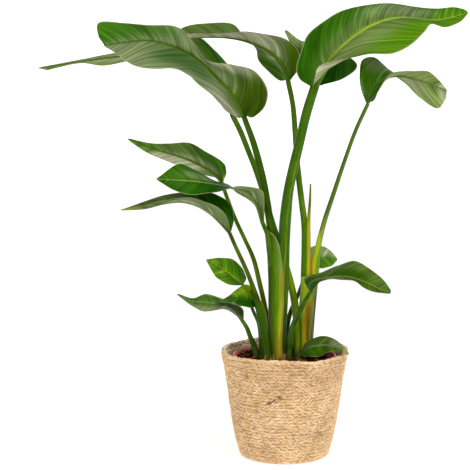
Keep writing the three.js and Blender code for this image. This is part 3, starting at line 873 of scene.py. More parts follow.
LEAVES: tuple[LeafPlan, ...] = (
    LeafPlan(
        "upper_left", half_width=62, near=L,
        stations=(
            (-74, 643, -40, -72, 646, -79, 642), (-79, 650, -41, -59, 641, -88, 639),
            (-85, 661, -43, -38, 661, -101, 646), (-92, 673, -46, -33, 691, -111, 654),
            (-105, 691, -50, -55, 724, -124, 667), (-124, 711, -55, -98, 737, -141, 684),
            (-146, 734, -60, -146, 748, -161, 702), (-166, 750, -62, -172, 781, -183, 721),
            (-191, 764, -62, -203, 807, -211, 730), (-222, 776, -60, -252, 811, -245, 730),
            (-257, 783, -56, -303, 815, -284, 737), (-300, 779, -50, -348, 814, -319, 761),
            (-337, 774, -45, -346, 783, -339, 773),
        ),
        stalk=(
            (-73, 643, -40, 10.3), (-58, 589, -30, 12.2), (-43, 531, -22, 14.1), (-32, 470, -14, 15.1),
            (-24, 410, -6, 15.2), (-20, 334, 3, 15.2), (-19, 257, 12, 16.2), (-18, 189, 18, 17.2),
        ),
        look=LeafLook(Tone.GRASS, Tone.SILVER, Tone.FERN, (
            Patch(Tone.GRASS, 0.95, -0.8, 0.27, 0.72), Patch(Tone.FERN, 0.09, -0.5, 0.17, 0.6, 1.0),
            Patch(Tone.FERN, 0.22, -1.05, 0.24, 0.9, 1.1), Patch(Tone.LIME, 0.05, -0.85, 0.06, 0.25),
            Patch(Tone.CREAM, 0.44, -0.85, 0.13, 0.3, 0.8), Patch(Tone.BOTTLE, 0.5, -0.5, 0.09, 0.3, 0.6),
            Patch(Tone.BOTTLE, 0.62, 0.35, 0.18, 0.42, 0.75), Patch(Tone.CREAM, 0.24, 0.8, 0.2, 0.35, 0.6),
            Patch(Tone.FERN, 0.18, 0.2, 0.2, 0.4, 0.6), Patch(Tone.FERN, 0.12, -0.75, 0.2, 0.75, 1.0),
            Patch(Tone.GRASS, 0.02, 0.5, 0.08, 0.6, 0.8), Patch(Tone.LODEN, 0.13, -0.7, 0.2, 0.75, 0.8),
        ), Tone.STEM, (
            Band(Tone.BOTTLE, 0.7, 0.5, 230, 680, 0.7), Band(Tone.LODEN, 0.0, 1.3, 430, 720, 0.65),
        ), (0.5, 1.5)),
    ),
    LeafPlan(
        "far_left", half_width=50, near=L,
        stations=(
            (-96, 646, 22, -94, 650, -100, 646), (-105, 669, 40, -92, 691, -122, 665),
            (-120, 695, 62, -101, 728, -146, 693), (-144, 724, 82, -133, 765, -170, 711),
            (-181, 748, 94, -161, 789, -211, 735), (-233, 759, 100, -215, 778, -271, 745),
            (-304, 754, 98, -311, 762, -338, 737), (-375, 745, 88, -375, 748, -382, 740),
            (-460, 732, 70, -453, 734, -451, 726),
        ),
        stalk=(
            (-93, 641, 22, 10.5), (-84, 615, 26, 10.6), (-69, 578, 30, 10.6), (-55, 542, 34, 10.6),
            (-41, 501, 38, 11.6), (-24, 444, 41, 11.6), (-6, 387, 44, 12.6), (10, 334, 44, 13.5),
            (20, 286, 40, 14.5), (24, 238, 37, 15.4), (24, 189, 34, 15.4),
        ),
        look=LeafLook(Tone.GRASS, Tone.OLIVE, Tone.MOSS, (
            Patch(Tone.GRASS, 0.36, -0.8, 0.16, 0.5), Patch(Tone.BOTTLE, 0.3, 0.8, 0.2, 0.5),
            Patch(Tone.CREAM, 0.72, 0.3, 0.2, 0.4, 0.4), Patch(Tone.FRESH, 0.98, 0.0, 0.1, 1.0, 0.6),
        ), Tone.GRASS, (
            Band(Tone.LIME, 0.0, 1.2, 170, 400, 0.5), Band(Tone.AMBER, 0.9, 0.22, 170, 300, 0.8),
            Band(Tone.LODEN, 0.0, 1.3, 430, 700, 0.45),
        ), (1.2, 1.2)),
    ),
    LeafPlan(
        "top_back", half_width=44, near=L,
        stations=(
            (7, 710, 25, 10, 711, 3, 709), (1, 726, 24, 23, 730, -12, 709),
            (-10, 745, 24, 25, 761, -33, 727), (-27, 761, 25, 4, 782, -51, 746),
            (-51, 774, 27, -29, 793, -55, 768), (-79, 784, 30, -64, 798, -79, 792),
            (-113, 789, 32, -100, 796, -100, 813), (-150, 789, 34, -140, 796, -150, 814),
            (-181, 788, 35, -174, 795, -185, 808), (-211, 791, 35, -207, 793, -209, 796),
        ),
        stalk=(
            (7, 705, 25, 9.6), (14, 663, 30, 9.6), (18, 619, 34, 10.6), (21, 576, 38, 10.6),
            (25, 533, 42, 11.6), (31, 485, 45, 11.6), (37, 438, 48, 12.6), (38, 391, 48, 13.6),
            (37, 314, 47, 15.5), (34, 247, 46, 17.4), (33, 189, 46, 17.4),
        ),
        look=LeafLook(Tone.GRASS, Tone.CREAM, Tone.FERN, (
            Patch(Tone.MOSS, 0.62, 0.8, 0.34, 0.8), Patch(Tone.FRESH, 0.2, 0.85, 0.17, 0.6),
            Patch(Tone.MOSS, 0.18, -0.6, 0.2, 0.8, 0.9), Patch(Tone.CREAM, 0.5, -0.3, 0.3, 0.5, 0.5),
            Patch(Tone.FERN, 0.1, -1.0, 0.26, 0.95, 1.1), Patch(Tone.STEM, 0.16, 0.8, 0.2, 0.5, 0.8),
        ), Tone.GRASS, (
            Band(Tone.FRESH, -0.3, 0.7, 170, 500), Band(Tone.LIME, 0.5, 0.3, 240, 480),
            Band(Tone.AMBER, 0.9, 0.2, 260, 490), Band(Tone.FERN, 0.0, 1.2, 500, 740, 0.6),
        ), (0.6, 0.8)),
    ),
    LeafPlan(
        "upper_right", half_width=62, near=R, curl=Curl(R, start=0.02, end=0.42, depth=26),
        stations=(
            (48, 697, -50, 44, 698, 51, 698), (57, 715, -51, 27, 711, 55, 715),
            (70, 734, -52, 20, 730, 62, 735), (86, 754, -54, 30, 768, 90, 746),
            (106, 774, -56, 40, 791, 123, 750), (130, 793, -58, 69, 816, 160, 757),
            (158, 810, -60, 104, 838, 198, 759), (188, 821, -60, 148, 847, 231, 773),
            (215, 825, -58, 196, 849, 258, 798), (245, 823, -55, 239, 845, 269, 813),
            (276, 820, -50, 282, 841, 297, 807), (308, 825, -45, 313, 843, 323, 816),
            (337, 834, -40, 335, 838, 337, 831),
        ),
        stalk=(
            (47, 692, -50, 16.7), (39, 650, -43, 16.8), (28, 600, -36, 17.8), (17, 555, -30, 18.8),
            (6, 504, -25, 18.8), (-1, 448, -20, 19.8), (-3, 400, -16, 20.8), (-7, 334, -12, 21.7),
            (-11, 257, -8, 22.7), (-14, 183, -6, 23.7),
        ),
        look=LeafLook(Tone.GRASS, Tone.SILVER, Tone.PALM, (
            Patch(Tone.MOSS, 0.5, -0.05, 0.34, 0.34, 0.9), Patch(Tone.OLIVE, 0.35, 0.45, 0.3, 0.4, 0.75),
            Patch(Tone.BOTTLE, 0.22, -0.85, 0.22, 0.4, 0.7), Patch(Tone.FRESH, 0.66, 0.8, 0.26, 0.42),
            Patch(Tone.SILVER, 0.68, -0.5, 0.15, 0.4, 0.7), Patch(Tone.FRESH, 0.94, 0.0, 0.12, 1.0, 0.8),
            Patch(Tone.CREAM, 0.17, 0.95, 0.13, 0.35), Patch(Tone.LIME, 0.1, 0.45, 0.05, 0.25, 0.8),
        ), Tone.STEM, (
            # painted shade: the bottle-green band down the stalk's right edge stands for the shade on that
            # side
            Band(Tone.LIME, 0.5, 0.14, 240, 600, 0.7), Band(Tone.BOTTLE, 0.95, 0.35, 180, 700, 0.8),
            Band(Tone.GRASS, -0.2, 0.6, 180, 720, 0.6), Band(Tone.LODEN, 0.0, 1.3, 150, 740, 0.4),
        ), (0.4, 1.5)),
    ),
    LeafPlan(
        "right_tall", half_width=42, near=R, curl=Curl(R, start=0.05, end=0.62, depth=14),
        stations=(
            (152, 667, 12, 150, 669, 154, 669), (155, 678, 12, 143, 687, 167, 674),
            (161, 693, 11, 138, 717, 174, 691), (172, 708, 10, 142, 746, 185, 711),
            (189, 715, 9, 164, 751, 202, 722), (211, 718, 8, 196, 724, 218, 727),
            (235, 713, 7, 223, 702, 243, 725), (260, 706, 6, 251, 676, 267, 725),
            (282, 697, 5, 285, 657, 285, 710), (301, 689, 5, 301, 678, 301, 691),
        ),
        stalk=(
            (153, 664, 12, 7.6), (132, 617, 18, 7.7), (110, 555, 26, 8.1), (91, 497, 33, 8.7),
            (74, 444, 38, 9.7), (64, 400, 42, 10.6), (59, 343, 47, 11.6), (53, 286, 52, 13.6),
            (48, 228, 56, 15.6), (46, 191, 58, 15.6),
        ),
        look=LeafLook(Tone.GRASS, Tone.OLIVE, Tone.MOSS, (
            Patch(Tone.FRESH, 0.16, -0.5, 0.28, 0.9, 0.4), Patch(Tone.SILVER, 0.4, -0.6, 0.08, 0.4, 0.6),
            Patch(Tone.CREAM, 0.62, -0.5, 0.16, 0.4, 0.5), Patch(Tone.MOSS, 0.85, 0.2, 0.1, 0.6, 0.6),
            Patch(Tone.CREAM, 0.97, 0.2, 0.06, 1.0, 0.6),
        ), Tone.MOSS, (
            Band(Tone.LIME, -0.1, 0.8, 240, 460, 0.6), Band(Tone.AMBER, -0.85, 0.25, 270, 430, 0.9),
            Band(Tone.FERN, -0.6, 0.6, 430, 700, 0.7), Band(Tone.LODEN, 0.0, 1.3, 430, 720, 0.35),
            Band(Tone.UMBER, 0.6, 0.9, 120, 330, 0.8),
        ), (0.9, 0.9)),
    ),
    LeafPlan(
        "back", half_width=36, near=L,
        stations=(
            (61, 702, 32, 57, 702, 64, 704), (73, 724, 42, 36, 715, 109, 713),
            (68, 745, 54, 31, 739, 133, 737), (42, 761, 66, 21, 759, 79, 772),
            (17, 781, 78, 8, 780, 28, 783), (-1, 801, 88, -2, 798, 1, 802),
        ),
        stalk=(
            (59, 697, 30, 11.5), (42, 645, 28, 11.5), (31, 598, 26, 11.5), (20, 551, 23, 12.5),
            (10, 504, 21, 12.5), (6, 457, 20, 12.5), (3, 410, 20, 13.4), (1, 334, 22, 14.4),
            (-3, 257, 26, 15.4), (-6, 191, 29, 15.4),
        ),
        # painted shade: both faces are the darkest green, partly the leaf's own colour and partly the
        # shadow of the leaf in front
        look=LeafLook(Tone.BOTTLE, Tone.BOTTLE, Tone.GRASS, (
            Patch(Tone.GRASS, 0.35, 0.9, 0.2, 0.4, 0.7), Patch(Tone.OLIVE, 0.9, 0.0, 0.22, 1.0),
        ), Tone.GRASS, (), (0.8, 0.8)),
    ),
    LeafPlan(
        "mid_left_high", half_width=38, near=L,
        stations=(
            (-117, 521, 25, -115, 523, -120, 521), (-126, 530, 27, -110, 538, -135, 529),
            (-139, 540, 30, -113, 551, -152, 533), (-158, 551, 35, -145, 575, -171, 539),
            (-182, 562, 41, -178, 592, -197, 548), (-212, 572, 47, -216, 592, -229, 562),
            (-244, 581, 52, -253, 592, -259, 574), (-294, 600, 58, -292, 601, -294, 598),
        ),
        stalk=(
            (-115, 517, 25, 7.7), (-110, 493, 26, 7.7), (-94, 451, 26, 7.7), (-75, 410, 24, 7.7),
            (-59, 374, 22, 8.6), (-47, 326, 23, 9.6), (-36, 276, 25, 9.6), (-31, 228, 27, 10.6),
            (-30, 191, 28, 10.6),
        ),
        look=LeafLook(Tone.GRASS, Tone.MOSS, Tone.FERN, (
            Patch(Tone.STEM, 0.26, -0.9, 0.34, 0.7, 1.0), Patch(Tone.SILVER, 0.4, 0.0, 0.24, 0.3, 0.7),
            Patch(Tone.PALM, 0.02, -0.9, 0.07, 0.6, 0.9), Patch(Tone.CREAM, 0.62, 0.6, 0.24, 0.6, 0.9),
            Patch(Tone.FRESH, 0.95, 0.0, 0.12, 0.9, 0.8),
        ), Tone.FERN, (
            Band(Tone.LIME, 0.1, 0.7, 190, 370, 0.4), Band(Tone.AMBER, 1.0, 0.2, 230, 400, 0.6),
        ), (0.7, 0.9)),
    ),
    LeafPlan(
        "mid_left_front", half_width=36, near=L, curl=Curl(L, start=0.2, end=0.62, depth=9),
        stations=(
            (-41, 448, -34, -39, 451, -43, 449), (-51, 476, -42, -39, 480, -55, 473),
            (-68, 498, -50, -43, 504, -75, 491), (-92, 508, -58, -83, 511, -94, 501),
            (-117, 513, -65, -118, 503, -107, 515), (-143, 517, -68, -143, 499, -135, 523),
            (-173, 521, -78, -173, 495, -169, 542), (-207, 523, -90, -209, 504, -197, 554),
            (-241, 525, -102, -240, 523, -240, 527),
        ),
        stalk=(
            (-39, 444, -34, 8.1), (-30, 410, -30, 8.4), (-26, 356, -20, 9.4), (-26, 295, -8, 9.5),
            (-27, 238, 2, 10.5), (-26, 185, 8, 10.5),
        ),
        look=LeafLook(Tone.BOTTLE, Tone.OLIVE, Tone.OLIVE, (
            Patch(Tone.SILVER, 0.2, -0.3, 0.16, 0.6, 0.8), Patch(Tone.GRASS, 0.85, 0.2, 0.2, 0.7, 0.7),
            Patch(Tone.BOTTLE, 0.58, -0.5, 0.16, 0.5, 0.7), Patch(Tone.SILVER, 0.7, 0.45, 0.12, 0.3, 0.6),
            Patch(Tone.STEM, 0.06, 0.5, 0.1, 1.0, 0.9),
        ), Tone.STEM, (Band(Tone.LODEN, 0.0, 1.3, 180, 470, 0.4),), (0.8, 0.8)),
    ),
    LeafPlan(
        "mid_left_low", half_width=34, near=L,
        stations=(
            (-102, 425, -35, -105, 428, -99, 428), (-118, 442, -35, -111, 457, -96, 451),
            (-139, 461, -36, -135, 476, -105, 480), (-165, 476, -37, -165, 487, -137, 499),
            (-196, 483, -38, -197, 490, -182, 501), (-229, 479, -40, -229, 485, -220, 496),
            (-263, 470, -42, -263, 476, -258, 485), (-308, 467, -45, -305, 468, -305, 468),
        ),
        stalk=(
            (-101, 422, -35, 7.5), (-94, 400, -33, 7.5), (-73, 354, -25, 8.5), (-58, 316, -20, 9.4),
            (-48, 286, -16, 11.3), (-42, 251, -12, 13.2), (-37, 212, -10, 15.1), (-34, 183, -8, 17),
        ),
        look=LeafLook(Tone.BOTTLE, Tone.SILVER, Tone.SILVER, (
            Patch(Tone.BOTTLE, 0.3, 0.7, 0.3, 0.6), Patch(Tone.MOSS, 0.6, -0.5, 0.3, 0.5, 0.6),
            Patch(Tone.MOSS, 0.78, 0.3, 0.2, 1.4, 0.9), Patch(Tone.CREAM, 0.55, 0.0, 0.12, 0.3, 0.7),
            Patch(Tone.PALM, 0.98, 0.0, 0.08, 1.0, 0.6), Patch(Tone.MOSS, 0.06, -0.4, 0.16, 0.9, 0.6),
        ), Tone.LODEN, (
            Band(Tone.STRAW, 0.95, 0.14, 170, 290), Band(Tone.STEM, 0.1, 1.2, 150, 300, 0.6),
        ), (0.8, 0.8)),
    ),
    LeafPlan(
        "small_left_high", half_width=30, near=L,
        stations=(
            (-78, 325, 15, -82, 324, -74, 327), (-86, 332, 14, -100, 324, -73, 339),
            (-98, 341, 12, -119, 331, -81, 356), (-111, 351, 9, -133, 343, -96, 372),
            (-126, 360, 6, -141, 357, -119, 376), (-148, 372, 2, -148, 370, -147, 373),
        ),
        stalk=(
            (-76, 322, 15, 5.7), (-67, 301, 20, 5.7), (-61, 278, 26, 6.7), (-50, 252, 34, 6.7),
            (-46, 228, 40, 7.7), (-44, 195, 44, 8.7),
        ),
        look=LeafLook(Tone.FRESH, Tone.GRASS, Tone.PALM, (
            Patch(Tone.GRASS, 0.5, 0.6, 0.3, 0.4, 0.8), Patch(Tone.PALM, 0.6, -0.3, 0.1, 0.2, 0.6),
            Patch(Tone.PALM, 0.85, 0.35, 0.07, 0.25, 0.5),
        ), Tone.GRASS),
    ),
    LeafPlan(
        "small_left_folded", half_width=26, near=L,
        stations=(
            (-52, 284, -5, -54, 283, -51, 286), (-66, 294, -10, -67, 281, -58, 318),
            (-81, 300, -16, -83, 284, -75, 325), (-96, 299, -22, -100, 290, -94, 313),
            (-111, 295, -28, -115, 290, -111, 300), (-130, 290, -35, -128, 289, -128, 290),
        ),
        stalk=(
            (-51, 281, -5, 6.6), (-47, 261, 2, 6.7), (-45, 234, 8, 7.6), (-43, 209, 12, 8.6),
            (-42, 185, 14, 9.6),
        ),
        look=LeafLook(Tone.GRASS, Tone.GRASS, Tone.STEM, (
            Patch(Tone.BOTTLE, 0.3, -0.7, 0.3, 0.5, 0.9), Patch(Tone.LIME, 0.3, 0.65, 0.35, 0.5, 0.5),
        ), Tone.BOTTLE),
    ),
    LeafPlan(
        "low_left", half_width=28, near=L,
        stations=(
            (-78, 257, -5, -80, 257, -75, 260), (-89, 270, -10, -94, 267, -79, 277),
            (-106, 282, -18, -115, 278, -100, 291), (-128, 288, -28, -137, 274, -124, 299),
            (-151, 291, -38, -157, 274, -149, 307), (-174, 293, -46, -176, 284, -172, 299),
            (-203, 306, -58, -202, 304, -202, 307),
        ),
        stalk=(
            (-77, 254, -4, 7.6), (-71, 241, 5, 8.6), (-65, 225, 12, 9.5), (-58, 209, 18, 11.5),
            (-53, 189, 22, 12.5),
        ),
        look=LeafLook(Tone.MOSS, Tone.MOSS, Tone.SILVER, (
            Patch(Tone.SILVER, 0.5, -0.8, 0.4, 0.35, 0.9), Patch(Tone.GRASS, 0.7, 0.4, 0.25, 0.5, 0.7),
            Patch(Tone.OLIVE, 0.4, 0.9, 0.3, 0.2, 0.8),
        ), Tone.GRASS),
    ),
    LeafPlan(
        "low_right", half_width=36, near=R,
        stations=(
            (48, 313, -25, 45, 313, 50, 314), (47, 326, -27, 37, 332, 61, 322),
            (57, 334, -31, 40, 340, 69, 331), (78, 338, -38, 74, 349, 82, 334),
            (101, 341, -46, 99, 361, 104, 335), (125, 339, -55, 131, 370, 129, 332),
            (152, 330, -64, 158, 357, 149, 319), (177, 318, -72, 186, 335, 173, 310),
            (201, 309, -80, 203, 312, 200, 307),
        ),
        stalk=(
            (47, 309, -25, 7.5), (39, 293, -18, 8.5), (28, 270, -10, 9.5), (18, 251, -4, 10.4),
            (11, 222, 2, 12.4), (7, 183, 6, 14.3),
        ),
        look=LeafLook(Tone.FERN, Tone.FERN, Tone.OLIVE, (
            Patch(Tone.MOSS, 0.5, -0.7, 0.3, 0.4, 0.7), Patch(Tone.BOTTLE, 0.15, 0.3, 0.2, 0.9, 0.7),
            Patch(Tone.BOTTLE, 0.6, -0.2, 0.14, 0.3, 0.6), Patch(Tone.MOSS, 0.9, -0.5, 0.12, 0.6, 0.6),
        ), Tone.BOTTLE, (Band(Tone.SILVER, -0.8, 0.4, 200, 290, 0.8),)),
    ),
    LeafPlan(
        "small_right_back", half_width=30, near=R,
        stations=(
            (40, 355, 70, 38, 357, 44, 354), (52, 368, 76, 42, 389, 57, 354),
            (67, 375, 86, 59, 399, 72, 356), (83, 376, 96, 82, 393, 88, 360),
            (99, 373, 106, 98, 376, 98, 370),
        ),
        stalk=(
            (39, 351, 70, 6.8), (32, 324, 72, 6.8), (24, 301, 72, 7.8), (12, 274, 72, 8.8),
            (5, 243, 70, 9.8), (1, 197, 66, 10.7),
        ),
        look=LeafLook(Tone.FRESH, Tone.MOSS, Tone.MOSS, (
            Patch(Tone.CREAM, 0.5, -0.6, 0.5, 0.5, 0.6), Patch(Tone.GRASS, 0.4, 0.6, 0.3, 0.4, 0.4),
        ), Tone.BOTTLE),
    ),
    LeafPlan(
        "rim_right", half_width=28, near=R,
        stations=(
            (32, 194, -2, 32, 197, 37, 191), (46, 204, -12, 39, 211, 50, 186),
            (65, 208, -24, 58, 223, 68, 187), (87, 208, -38, 87, 224, 89, 196),
            (106, 203, -50, 107, 211, 105, 196), (123, 191, -60, 123, 193, 119, 189),
        ),
        stalk=((30, 191, 0, 7.6), (27, 185, 2, 8.6), (26, 180, 4, 9.5)),
        look=LeafLook(Tone.FERN, Tone.MOSS, Tone.SILVER, (
            Patch(Tone.MOSS, 0.45, -0.4, 0.25, 0.4, 0.5), Patch(Tone.GRASS, 0.3, 0.5, 0.2, 0.4, 0.8),
            Patch(Tone.SILVER, 0.74, -0.3, 0.14, 0.7, 0.9), Patch(Tone.STRAW, 0.97, 0.0, 0.1, 1.0, 0.9),
        ), Tone.LODEN),
    ),
)


# The rolled new leaf: (across, up, depth, diameter) from its dry point down to the soil.
SPEAR: tuple[Quad, ...] = (
    (48, 516, 30, 2.7), (47, 485, 34, 4.8), (45, 448, 37, 6.7), (45, 410, 38, 7.6), (45, 362, 38, 8.6),
    (44, 314, 36, 9.5), (43, 257, 31, 11.4), (41, 185, 28, 12.3),
)


# A blade's point with its vein value and the colours of its upper and its lower face.
Corner = tuple[Vector, Triple, Quad, Quad]


@dataclass(frozen=True)
class LeafMaterials:
    """The four skins of a leaf."""

    upper: Material
    under: Material
    margin: Material
    stalk: Material


@dataclass
class Stalk:
    """A grooved leaf stalk that runs down into the potting bark."""

    name: str
    rows: Sequence[Quad]
    tone: Tone
    bands: Sequence[Band] = ()
    top: Vector | None = None
    facing: Vector = Vector((-1, 0, 0))
    sides: int = 24
    steps: int = 56
    groove: float = 0.3  # depth at the foot, as a share of the radius
    buried: float = 6.0  # mm below the last row that the stalk starts to run straight down
    hole_floor: float = 148.0
    dull_below: float = 205.0
    dull_reach: float = 26.0
    dull_share: float = 0.7

    def build(self, material: Material, slot: str, node_name: str) -> None:
        """Sweeps the stalk and paints it.

        Args:
            material: The stalk's skin.
            slot: The record's slot.
            node_name: The CAD node that it stands for.
        """
        points = [at(*row[:3]) for row in self.rows]
        if self.top:
            points[0] = self.top
        foot = points[-1]
        points.append(Vector((foot.x, foot.y, foot.z - self.buried * MM)))
        points.append(Vector((foot.x, foot.y, self.hole_floor * MM)))
        widths = [row[3] for row in self.rows] + [self.rows[-1][3]] * 2
        curve = SmoothCurve(points)
        shares = [k / self.steps for k in range(self.steps + 1)]
        slots = [share * (len(widths) - 1) for share in shares]
        radii = [np.interp(slot_at, range(len(widths)), widths) / 2 * MM for slot_at in slots]
        centres = [curve.point(share) for share in shares]
        tube = swept(self.name, centres, radii, self.facing, self.sides, self.section)
        self.paint_tube(tube, centres, radii)
        tidy(tube, 50)
        finish_piece(tube, material, slot, [node_name])

    def section(self, angle: float, share: float) -> float:
        """The stalk's outline: round, with a channel that deepens towards the foot.

        Args:
            angle: Turn from the channel's middle, in radians.
            share: Place along the stalk, from 0 at its top to 1 at its foot.

        Returns:
            The share of the radius.
        """
        turn = min(angle, 2 * math.pi - angle)
        depth = self.groove * (0.45 + 0.55 * share)
        lip = 0.06 * share * math.exp(-(((turn - 0.85) / 0.3) ** 2))
        return 1 - depth * math.exp(-((turn / 0.5) ** 2)) + lip

    def paint_tube(self, tube: Object, centres: Sequence[Vector], radii: Sequence[float]) -> None:
        """Colours the stalk by its bands, with a dull greyish foot.

        Args:
            tube: The swept stalk.
            centres: The middle of each ring.
            radii: Each ring's radius.
        """
        fibre = tube.data.attributes["fibre"].data
        colours = []
        for k, corner in enumerate(tube.data.vertices):
            ring = round(fibre[k].vector[2] * self.steps)
            across = (corner.co.x - centres[ring].x) / radii[ring]
            height = corner.co.z / MM
            mottle = noise.noise(corner.co * 70 + Vector((len(self.name), 0, 0)))
            colour = mixed(self.tone.rgba, Tone.LIME.rgba, 0.16 * (0.5 + mottle))
            colour = banded(colour, self.bands, across + 0.2 * mottle, height)
            dulled = clamped((self.dull_below - height) / self.dull_reach) * self.dull_share
            colours.append(mixed(colour, Tone.DULL.rgba, dulled))
        paint(tube, "tint", colours)


@dataclass
class Spear(Stalk):
    """The rolled new leaf: one margin laps over the other in a long spiral seam."""

    edge_below: float = 480.0  # mm; the amber margin fades out upwards to here, over 60 mm
    olive_above: float = 430.0
    dry_above: float = 492.0

    def section(self, angle: float, share: float) -> float:
        """A rolled outline with one step, where the leaf's margin ends."""
        return 0.93 + 0.13 * angle / (2 * math.pi)

    def paint_tube(self, tube: Object, centres: Sequence[Vector], radii: Sequence[float]) -> None:
        """Colours the roll: lime with an amber edge, olive towards its dry brown point.

        Args:
            tube: The swept roll.
            centres: The middle of each ring.
            radii: Each ring's radius.
        """
        heights, middles = [row[1] for row in self.rows[::-1]], [row[0] for row in self.rows[::-1]]
        colours = []
        for corner in tube.data.vertices:
            height = corner.co.z / MM
            edge = clamped((corner.co.x / MM - np.interp(height, heights, middles) - 1.0) / 3)
            edge *= clamped((self.edge_below - height) / 60)
            colour = mixed(Tone.LIME.rgba, Tone.AMBER.rgba, 0.8 * edge)
            colour = mixed(colour, Tone.LODEN.rgba, 0.75 * clamped((height - self.olive_above) / 40))
            colours.append(mixed(colour, Tone.BARK.rgba, clamped((height - self.dry_above) / 16)))
        paint(tube, "tint", colours)


@dataclass
class Sheath:
    """An old leaf base that clasps several stalks and ends in a point at its left.

    Each row is (left, right, up, opening): its edges and height on the front elevation, in mm,
    and how far round to the right it reaches, in degrees from the front.
    """

    name: str
    rows: tuple[Quad, ...]
    depth: float
    half_depth: float
    tone: Tone
    bands: tuple[Band, ...]
    columns: int = 36
    steps: int = 60
    squareness: float = 0.62  # 1 would be round
    wrap: float = 150.0  # degrees that it reaches round to the left from the front
    thickness: float = 1.2
    hem: float = 1.1  # columns of the straw-coloured edge

    def build(self, material: Material, node_name: str) -> None:
        """Models the clasping base and paints it.

        Args:
            material: The stalk's skin.
            node_name: The CAD node that it is part of.
        """
        curve = SmoothCurve([Vector(row[:3]) for row in self.rows])
        openings = [row[3] for row in self.rows]
        colours: list[Quad] = []
        fibres: list[Triple] = []

        def bulge(value: float) -> float:
            """Squares off the round section."""
            return math.copysign(abs(value) ** self.squareness, value)

        def place(column: int, row: int) -> Vector:
            """Finds a point of the sheath and notes its colour and its fibre.

            Args:
                column: Number of the column round the sheath.
                row: Number of the row up it.

            Returns:
                The point, in metres.
            """
            share = row / self.steps
            left, right, up = curve.point(share)
            opening = np.interp(share * (len(openings) - 1), range(len(openings)), openings)
            angle = math.radians(-self.wrap + (self.wrap + opening) * column / self.columns)
            across = bulge(math.sin(angle))
            middle, half = (left + right) / 2, (right - left) / 2
            mottle = noise.noise(Vector((across * 2, up / 60, len(self.name))))
            colour = banded(self.tone.rgba, self.bands, across + 0.2 * mottle, up)
            edge = math.exp(-(((column - self.columns) / self.hem) ** 2))
            colours.append(mixed(colour, Tone.STRAW.rgba, 0.7 * edge))
            fibres.append((column * 1.3, up, share))
            return at(middle + half * across, up, self.depth - self.half_depth * bulge(math.cos(angle)))

        sheet = shaped_grid(self.name, self.columns, self.steps, place)
        paint(sheet, "tint", colours)
        paint(sheet, "fibre", fibres)
        thickened(sheet, self.thickness, offset=-1)
        tidy(sheet, 50)
        finish_piece(sheet, material, "stalk", [node_name])


